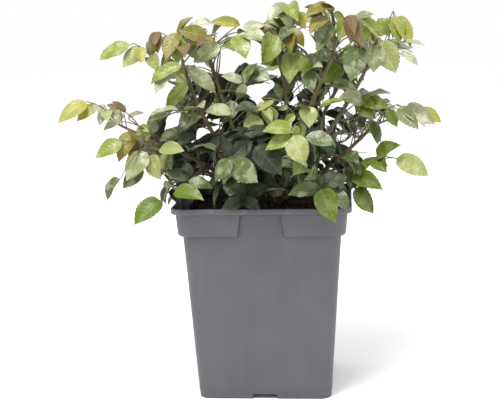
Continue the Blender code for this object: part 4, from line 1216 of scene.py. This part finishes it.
def ruleArc(shoot, share, number, size, turn, attempt, sag, stretch):
    # a leafstalk that leaves the shoot at the next turn of the rule, rises a little and sags
    place = 0.25 + 0.75 * share ** 0.8
    heading = shoot.heading(place)
    outward = Vector((shoot.tip.x, shoot.tip.y, 0))
    across = (outward - heading * outward.dot(heading)).normalized()
    opening = math.radians(growth["openingLow"] + (growth["openingHigh"] - growth["openingLow"]) * share)
    length = plantSizes["stalkLength"] * size * (1.1 - 0.45 * share) * stretch
    angle = math.radians(turn + number * growth["leafTurn"] + attempt * growth["tryTurn"])
    spread = Matrix.Rotation(angle, 3, heading) @ across
    direction = heading * math.cos(opening) + spread * math.sin(opening) + Vector((0, 0, growth["rise"]))
    direction.z = max(direction.z, 0.1)
    direction.normalize()
    root = shoot.point(place)
    sink = Vector((0, 0, sag * (1.3 - share) * length))
    middle = root + direction * length * 0.52 - sink * 0.2
    return Arc(root, middle, root + direction * length * 0.94 - sink)


def leafletsOf(arc, size, tilt, sizes):
    # the blades turn their faces up, outward and toward the light
    outward = Vector((arc.start.x, arc.start.y, 0)).normalized()
    facing = Vector(growth["toLight"]) + outward * growth["leanOutward"]
    opening = math.radians(growth["leafletOpening"])
    made = []
    for index, (place, side, scale) in enumerate(leafletPlan):
        heading = arc.heading(place)
        across = Matrix.Rotation(tilt, 3, heading) @ heading.cross(facing).normalized()
        normal = across.cross(heading)
        forward = heading * math.cos(side * opening) + across * math.sin(side * opening)
        forward = (forward - normal * growth["leafletDip"]).normalized()
        normal = (normal - forward * normal.dot(forward)).normalized()
        length = plantSizes["leafletLength"] * size * scale * sizes[index]
        made.append((arc.point(place), forward, normal, length))
    return made


class Plant:
    # the leaflets by tint and the lines of the twigs by kind, as they grow
    def __init__(self, room, view):
        self.room = room
        self.view = view
        self.blades = {}
        self.lines = {"green": [], "red": []}
        self.patterns = []    # place and tint of the placed leaflets
        self.dice = random.Random(7)

    def addBlade(self, root, forward, normal, length, width, tint):
        # forward and length run straight from the foot to the tip, and the blade arches over them
        values = {key: self.dice.uniform(*growth[key]) for key in bendNames}
        half = values["curl"] / 2
        self.blades.setdefault(tint, []).append({
            "root": root, "forward": forward * math.cos(half) + normal * math.sin(half),
            "upward": normal * math.cos(half) - forward * math.sin(half),
            "length": length * half / math.sin(half), "half": length * width,
            "phase": self.dice.uniform(0, 6), **values,
        })

    def addLine(self, arc, foot, tip, kind="green", steps=7):
        self.lines[kind].append([(arc.point(step / steps), foot + (tip - foot) * step / steps)
                                 for step in range(steps + 1)])

    def addStalk(self, arc, tint, size=1, steps=7):
        kind = "red" if tint == "bronze" else "green"
        self.addLine(arc, plantSizes["stalkFoot"] * size, plantSizes["stalkTip"] * size, kind, steps)

    def addLeaf(self, arc, leaflets, tint, size):
        # a leafstalk with its blades, each on a short stalklet
        self.addStalk(arc, tint, size)
        for root, forward, normal, length in leaflets:
            self.addBlade(root + forward * 0.8 * mm, forward, normal, length, growth["width"], tint)


def tintOf(plant, place, dice, inner=False):
    # as the placed leaf beside it; else by its place in the crown: darker within and low as painted shade,
    # fresher and more golden toward outside and top, partly young growth and partly painted light
    if plant.patterns and not inner and dice.random() < growth["likePlaced"]:
        beside = min(plant.patterns, key=lambda spot: (spot[0] - place).length)
        near = (beside[0] - place).length < growth["besidePlaced"] * mm
        if near and place.z > beside[0].z - growth["belowPlaced"] * mm:
            return beside[1]
    # painted shade: the level falls toward the crown's middle and foot, and for leaves on a cane within, and a
    # lower level takes a darker tint
    level = Vector((place.x / 0.2, place.y / 0.19, (place.z - 0.19) / 0.17)).length
    level += dice.uniform(-0.13, 0.13) - (0.15 if inner else 0)
    for limit, tint in growth["tintLevels"]:
        if level < limit:
            return tint
    return dice.choice(growth["outerTints"])


def growLeaf(plant, name, shoot, number, count, size, turn, dice, inner=False):
    # one leaf by the rule, turned a little at each new try until two of its leaflets or more find room
    room = plant.room
    share = (number + 0.5) / count
    stretch = dice.uniform(0.9, 1.1)
    sag = dice.uniform(0.15, 0.5)
    tilt = dice.uniform(-0.35, 0.35)
    sizes = [dice.uniform(0.9, 1.1) for _ in leafletPlan]
    for attempt in range(growth["tries"]):
        arc = ruleArc(shoot, share, number, size, turn, attempt, sag, stretch)
        leaflets = leafletsOf(arc, size * (1.1 - 0.25 * share), tilt, sizes)
        if number in (0, count - 1):
            leaflets = leaflets[:3]
        parts = [stretchPoints(arc, 0.12, 0.5, plantSizes["stalkFoot"]),
                 stretchPoints(arc, 0.5, 1, plantSizes["stalkTip"])]
        if not all(insideRoom(part) and room.clear(part, name) for part in parts):
            continue
        kept = []
        for root, forward, normal, length in leaflets:
            hull = leafletHull(root, forward, normal, length, growth["width"])
            seen = bladePoints(root, forward, normal, length, growth["width"])
            if insideRoom(hull) and plant.view.open(seen) and room.clear(hull, name, True):
                kept.append((root, forward, normal, length, hull))
        if len(kept) < 2:
            continue
        for part in parts + [leaflet[4] for leaflet in kept]:
            room.take(part, name)
        plant.addLeaf(arc, [leaflet[:4] for leaflet in kept], tintOf(plant, arc.tip, dice, inner), size)
        return


def alongSight(point, depth):
    # nearer or farther on the line of sight, so that a place keeps its look from the front
    return point + (point - cameraPlace).normalized() * depth


def placeLeaf(plant, name, end, leaflets):
    # a leaf whose blades stand at given places; its stalk comes from a fitting place on shoot or limb
    deeper = plant.dice.uniform(*growth["depthInFront" if end[1] < -20 else "depthBehind"])
    end = alongSight(Vector(end) * mm, deeper)
    shoot = shoots[name]
    limb = canes[shootPlan[name][0]]
    starts = [shoot.point(step / 10) for step in range(3, 11)]
    starts += [limb.point(step / 10) for step in range(5, 11)]
    start = min(starts, key=lambda point: abs((point - end).length - 38 * mm))
    tips = [alongSight(Vector(tip) * mm, deeper + plant.dice.uniform(*growth["tipDepth"]))
            for _, tip, *_ in leaflets]
    heading = ((tips[0] - end).normalized() + (end - start).normalized() * 0.8).normalized()
    arc = Arc(start, (start + end) / 2 + Vector((0, 0, 0.1)) * (end - start).length - heading * 2 * mm, end)
    plant.addStalk(arc, leaflets[0][3], steps=9)
    for (share, _, roll, tint, *wider), tip in zip(leaflets, tips):
        root = arc.point(share)
        width = growth["slender"].get(tint, growth["placedWidth"]) * (wider[0] if wider else 1)
        spare = 1 - growth["longestPlaced"][share == 1] * mm / (tip - root).length
        if spare > 0:    # a long way to the tip is partly a stalklet's
            inner = root.lerp(tip, spare)
            stalklet = Arc(root, (root + inner) / 2, inner)
            plant.addLine(stalklet, plantSizes["stalkTip"], plantSizes["stalkTip"], steps=3)
            root = inner
        roll = math.radians(roll)
        for _ in range(growth["moves"]):
            forward = (tip - root).normalized()
            facing = Vector((plant.dice.uniform(-0.2, 0.2), -math.cos(roll), math.sin(roll)))
            normal = (facing - forward * facing.dot(forward)).normalized()
            length = (tip - root).length
            hull = leafletHull(root, forward, normal, length, width)
            if plant.room.clear(hull, name, True):
                break
            tip = tip + Vector((0, -growth["moveForward"], 0)) * mm
        plant.room.take(hull, name)
        plant.patterns.append((root.lerp(tip, 0.5), tint))
        plant.addBlade(root, forward, normal, length * 1.04, width, tint)
        for along in (0.3, 0.65):
            plant.view.keepFree(root + forward * length * along, length * 0.28)


def growPlant():
    # the shoots and the placed leaves come first, then the rule's leaves, the finer ones and those within
    solids = [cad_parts[name] for name in ["pot", "soil", "graft_stock", *canePlan]]
    plant = Plant(Room(solids), View(crownOutline, skyWindows))
    for name, (low, high) in caneStretches.items():
        for step in range(25):
            plant.view.keepFree(canes[name].point(low + (high - low) * step / 24), 4 * mm)
    for name, shoot in shoots.items():
        for step in range(4):
            plant.room.take(stretchPoints(shoot, step / 4, (step + 1) / 4, plantSizes["shootFoot"]), name)
        plant.addLine(shoot, plantSizes["shootFoot"], plantSizes["shootTip"], "green", 12)
        limb, place = shootPlan[name][:2]
        plant.lines["green"][-1].insert(0, (canes[limb].point(place), plantSizes["shootFoot"]))
    for name, end, leaflets in placedLeaves:
        placeLeaf(plant, name, end, leaflets)
    for index, (name, (_, _, _, count, size, turn)) in enumerate(shootPlan.items()):
        dice = random.Random(index)
        for number in range(count):
            growLeaf(plant, name, shoots[name], number, count, size, turn, dice)
    for index, (name, (_, _, _, count, size, turn)) in enumerate(shootPlan.items()):
        dice = random.Random(100 + index)
        extra = round(count * growth["fillShare"])
        for number in range(extra):
            growLeaf(plant, name, shoots[name], number, extra, size * dice.uniform(*growth["fillSize"]),
                     turn + growth["fillTurn"], dice)
    for index, (name, limb) in enumerate(canes.items()):
        dice = random.Random(200 + index)
        for number in range(growth["caneLeaves"]):
            size = dice.uniform(0.75, 1)
            growLeaf(plant, name, limb, number, growth["caneLeaves"], size, 30, dice, inner=True)
    return plant


# Leaflets and twigs as meshes

def leafletShape(teeth=9):
    # one closed leaflet of unit size: x across from -1 to 1, y along from 0 to 1, z 0 above and -1 below
    def half(along):
        return min(1, along ** 0.62 * (1 - along) ** 0.95 * 2.88) * (1 - max(0, along - 0.72))

    stations = [0] + [0.045 + 0.9 * ((step + 0.5) / teeth) for step in range(teeth)] + [1]
    places, faces = [], []

    def point(x, y, z):
        places.append((x, y, z))
        return len(places) - 1

    base, tip = point(0, 0, 0), point(0, 1, 0)
    ribs = {layer: [base] + [point(0, y, layer) for y in stations[1:-1]] + [tip] for layer in (0, -1)}
    for sign in (1, -1):
        edges = [base] + [point(sign * half(y) * 0.95, y - 0.006, 0) for y in stations[1:-1]] + [tip]
        spikes = []
        for low, high in zip(stations[1:], stations[2:]):
            along = low + (high - low) * 0.62
            spikes.append(point(sign * half(along) * 1.005, along + 0.012, 0) if high < 1 else None)
        for layer in (0, -1):
            mids = [base] + [point(sign * half(y) * 0.48, y, layer) for y in stations[1:-1]] + [tip]
            flip = (sign > 0) == (layer == 0)
            for step in range(len(stations) - 1):
                inner = [ribs[layer][step], mids[step], mids[step + 1], ribs[layer][step + 1]]
                spike = spikes[step - 1] if step else None
                outer = [mids[step], edges[step], spike, edges[step + 1], mids[step + 1]]
                for corners in (inner, outer):
                    ring = []
                    for corner in corners:
                        if corner is not None and corner not in ring:
                            ring.append(corner)
                    if len(ring) > 2:
                        faces.append((ring if flip else ring[::-1], layer))
    data = bpy.data.meshes.new("leaflet")
    data.from_pydata(places, [], [ring for ring, _ in faces])
    layer = data.attributes.new("place", "FLOAT_VECTOR", "POINT")
    layer.data.foreach_set("vector", [part for place in places for part in place])
    leafMap = data.uv_layers.new(name="leafMap")
    for face, (_, side) in zip(data.polygons, faces):
        for index in face.loop_indices:
            x, y, _ = places[data.loops[index].vertex_index]
            leafMap.data[index].uv = (x * 0.5 + 0.5, min(y, 0.999) - side)
    data.shade_smooth()
    return addItem("leaflet", data)


def leafTree():
    # a leaflet on every point, bent, folded, twisted and rippled by the values that the point carries
    tree, ins, outs = newGroup("leaflets", "GeometryNodeTree", [
        ("Geometry", "NodeSocketGeometry", None), ("Leaflet", "NodeSocketObject", None),
        ("Thickness", "NodeSocketFloat", 0.0004), ("Leaf Material", "NodeSocketMaterial", None),
    ], [("Geometry", "NodeSocketGeometry")])
    source = addNode(tree, "GeometryNodeObjectInfo", {0: ins["Leaflet"]})
    placed = addNode(tree, "GeometryNodeInstanceOnPoints", {
        "Points": ins["Geometry"], "Instance": source.outputs["Geometry"]})
    real = addNode(tree, "GeometryNodeRealizeInstances", {0: placed.outputs[0]}).outputs[0]

    def vector(name):
        return carried(tree, name, "FLOAT_VECTOR")

    def number(name):
        return carried(tree, name)

    def scaled(direction, amount):
        return addNode(tree, "ShaderNodeVectorMath", {0: direction, 3: amount}, operation="SCALE").outputs[0]

    def added(one, two):
        return addNode(tree, "ShaderNodeVectorMath", {0: one, 1: two}, operation="ADD").outputs[0]

    across, along, depth = addNode(tree, "ShaderNodeSeparateXYZ", {0: vector("place")}).outputs
    forward, upward = vector("forward"), vector("upward")
    sideways = addNode(tree, "ShaderNodeVectorMath", {0: forward, 1: upward},
                       operation="CROSS_PRODUCT").outputs[0]
    length, half, curl = number("length"), number("half"), number("curl")
    bend = calc(tree, "MULTIPLY", curl, along)
    reach = calc(tree, "MULTIPLY", calc(tree, "DIVIDE", calc(tree, "SINE", bend), curl), length)
    drop = calc(tree, "DIVIDE", calc(tree, "SUBTRACT", calc(tree, "COSINE", bend), 1), curl)
    centre = added(scaled(forward, reach), scaled(upward, calc(tree, "MULTIPLY", drop, length)))
    centre = added(vector("root"), centre)
    face = added(scaled(upward, calc(tree, "COSINE", bend)), scaled(forward, calc(tree, "SINE", bend)))
    twist = calc(tree, "MULTIPLY", number("twist"), along)
    side = added(scaled(sideways, calc(tree, "COSINE", twist)), scaled(face, calc(tree, "SINE", twist)))
    face = added(scaled(face, calc(tree, "COSINE", twist)),
                 scaled(sideways, calc(tree, "MULTIPLY", calc(tree, "SINE", twist), -1)))
    fold, away = number("fold"), calc(tree, "ABSOLUTE", across)
    outward = calc(tree, "MULTIPLY", calc(tree, "MULTIPLY", across, half), calc(tree, "COSINE", fold))
    offset = scaled(side, outward)
    ripple = calc(tree, "SINE", calc(tree, "ADD", calc(tree, "MULTIPLY_ADD", along, 13, number("phase")),
                                     calc(tree, "MULTIPLY", across, 1.7)))
    lift = calc(tree, "ADD", calc(tree, "SINE", fold), calc(tree, "MULTIPLY", ripple, number("ripple")))
    lift = calc(tree, "SUBTRACT", lift, calc(tree, "MULTIPLY", away, number("edge")))
    lift = calc(tree, "MULTIPLY", calc(tree, "MULTIPLY", lift, away), half)
    lift = calc(tree, "MULTIPLY_ADD", depth, ins["Thickness"], lift)
    final = added(centre, added(offset, scaled(face, lift)))
    shaped = addNode(tree, "GeometryNodeSetPosition", {"Geometry": real, "Position": final}).outputs[0]
    return paint(tree, shaped, ins["Leaf Material"], outs)


def twigTree():
    # a round twig along every line, as thick as its points say
    tree, ins, outs = newGroup("twigs", "GeometryNodeTree", [
        ("Geometry", "NodeSocketGeometry", None), ("Sides", "NodeSocketInt", 6),
        ("Twig Material", "NodeSocketMaterial", None),
    ], [("Geometry", "NodeSocketGeometry")])
    line = addNode(tree, "GeometryNodeMeshToCurve", {0: ins["Geometry"]}).outputs[0]
    ring = addNode(tree, "GeometryNodeCurvePrimitiveCircle", {"Resolution": ins["Sides"], "Radius": 1})
    tube = addNode(tree, "GeometryNodeCurveToMesh", {
        "Curve": line, "Profile Curve": ring.outputs[0],
        "Scale": carried(tree, "thickness"), "Fill Caps": True}).outputs[0]
    real = addNode(tree, "GeometryNodeRealizeInstances", {0: tube}).outputs[0]
    return paint(tree, real, ins["Twig Material"], outs)


leafTints = {    # upper side, underside, roughness, and gloss with painted sheen: the specular level and the greatest share of painted-sheen patches
    # shade is painted shade: near-black leaves where the crown's inside is in shadow; deep is a dark green,
    # partly darkened as painted shade
    "shade": ((0.018, 0.028, 0.011), (0.030, 0.040, 0.022), 0.42, 0.08),
    "deep": ((0.028, 0.046, 0.011), (0.050, 0.065, 0.032), 0.36, 0.3),
    "mid": ((0.062, 0.088, 0.016), (0.095, 0.118, 0.050), 0.34, 0.6),
    "green": ((0.090, 0.130, 0.008), (0.110, 0.142, 0.046), 0.36, 0.25),
    "fresh": ((0.160, 0.200, 0.017), (0.145, 0.180, 0.045), 0.36, 0.45),
    "yellow": ((0.252, 0.250, 0.036), (0.265, 0.255, 0.060), 0.36, 0.25),
    "lime": ((0.235, 0.260, 0.080), (0.240, 0.275, 0.090), 0.35, 0.4),
    "gold": ((0.158, 0.136, 0.014), (0.185, 0.160, 0.035), 0.36, 0.25),
    # silver and pale are pale partly as painted reflection: their greyish colours and large sheen stand for glare
    # off the upper face
    "silver": ((0.200, 0.218, 0.090), (0.210, 0.230, 0.125), 0.32, 0.75),
    "pale": ((0.285, 0.292, 0.170), (0.320, 0.325, 0.220), 0.32, 0.9),
    "bronze": ((0.142, 0.096, 0.044), (0.165, 0.110, 0.048), 0.38, 0.05),
}


leafLook = {
    "patchShare": 0.28, "patchDarkness": 0.55,    # darker patches over the whole blade
    # painted sheen: cloudy pale patches in the colour that stand for glare off the waxy upper face
    "paintedSheenRange": (0.49, 0.6), "paintedSheenShare": 0.75, "paintedSheenWhite": (0.30, 0.31, 0.22),
    "midribShare": 0.45, "veinShare": 0.16, "veinPaler": 1.5, "relief": 0.0005,
}


def leafMaterial(name, upper, under, roughness, glossAndPaintedSheen):
    look = leafLook
    material, tree, shader = newMaterial(name, roughness, 0.12 + 0.75 * min(glossAndPaintedSheen, 0.5))
    place = objectPlace(tree)
    leafMap = addNode(tree, "ShaderNodeUVMap", uv_map="leafMap").outputs[0]
    veins = useGroup(tree, leafVeins, {"Leaf Map": leafMap})
    patches = useGroup(tree, mottle, {"Place": place, "Large": 70, "Small": 420, "Contrast": 1.8})
    colour = blend(tree, veins["Underside"], opaque(upper), opaque(under))
    darker = tuple(part * look["patchDarkness"] for part in upper)
    patchMask = calc(tree, "MULTIPLY", patches["Patches"], look["patchShare"])
    colour = blend(tree, patchMask, colour, opaque(darker))
    # painted sheen: pale cloudy patches mixed into the base colour stand for glare, up to the tint's sheen share
    paintedSheenMask = remap(tree, addNoise(tree, place, 95, 3), *look["paintedSheenRange"], 0, glossAndPaintedSheen)
    paintedSheenColour = tuple(part * 0.6 + extra for part, extra in zip(upper, look["paintedSheenWhite"]))
    colour = blend(tree, calc(tree, "MULTIPLY", paintedSheenMask, look["paintedSheenShare"]), colour, opaque(paintedSheenColour))
    pale = tuple(min(1, part * look["veinPaler"] + 0.05) for part in upper)
    midrib = calc(tree, "MULTIPLY", veins["Midrib"], look["midribShare"])
    mask = calc(tree, "MULTIPLY_ADD", veins["Side Veins"], look["veinShare"], midrib)
    colour = blend(tree, mask, colour, opaque(pale))
    tree.links.new(colour, shader.inputs["Base Color"])
    rough = remap(tree, patches["Grain"], 0.35, 0.65, roughness - 0.07, roughness + 0.09)
    tree.links.new(rough, shader.inputs["Roughness"])
    grain = calc(tree, "MULTIPLY_ADD", patches["Grain"], 1.1, veins["Relief"])
    addBump(tree, shader, grain, look["relief"], 0.4)
    return material


def buildBlades(plant):
    # one piece for each tint, with all its leaflets joined
    shape, tree = leafletShape(), leafTree()
    total = 0
    for tint, (upper, under, roughness, glossAndPaintedSheen) in leafTints.items():
        blades = plant.blades.get(tint, [])
        kinds = {key: "FLOAT_VECTOR" for key in ("root", "forward", "upward")}
        kinds.update({key: "FLOAT" for key in ("length", "half", *bendNames, "phase")})
        values = {key: (kind, [blade[key] for blade in blades]) for key, kind in kinds.items()}
        piece = pointCloud("leaves_" + tint, [blade["root"] for blade in blades], values)
        material = leafMaterial(tint + "Leaf", upper, under, roughness, glossAndPaintedSheen)
        runNodes(piece, tree, {"Leaflet": shape, "Thickness": 0.0004, "Leaf Material": material})
        spent = [layer.name for layer in piece.data.attributes if layer.name in (*values, "place")]
        for key in spent:
            piece.data.attributes.remove(piece.data.attributes[key])
        shadeSmooth(piece, 75)
        dress(piece, material, "foliage")
        total += len(blades)
        print(piece.name, len(blades), "leaflets,", len(piece.data.polygons), "faces")
    bpy.data.objects.remove(shape, do_unlink=True)
    return total


twigLook = {    # two colours for each kind
    "green": ((0.105, 0.115, 0.038), (0.110, 0.068, 0.032)),
    "red": ((0.120, 0.045, 0.024), (0.140, 0.085, 0.04)),
}


def buildTwigs(plant):
    tree = twigTree()
    for kind, colours in twigLook.items():
        places, edges, thick = [], [], []
        for line in plant.lines[kind]:
            first = len(places)
            places += [point for point, _ in line]
            thick += [radius for _, radius in line]
            edges += [(first + step, first + step + 1) for step in range(len(line) - 1)]
        data = bpy.data.meshes.new("twigs_" + kind)
        data.from_pydata(places, edges, [])
        data.attributes.new("thickness", "FLOAT", "POINT").data.foreach_set("value", thick)
        piece = addItem("twigs_" + kind, data)
        material = mottledMaterial(kind + "Twig", *colours, 0.42, 0.5, (45, 500, 3), (0.0002, 0.5))
        runNodes(piece, tree, {"Sides": 7, "Twig Material": material})
        piece.data.shade_smooth()
        dress(piece, material, "foliage")
        print(piece.name, len(piece.data.polygons), "faces")


plant = growPlant()
print("leaflets:", buildBlades(plant))
buildTwigs(plant)
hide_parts(*shootPlan)
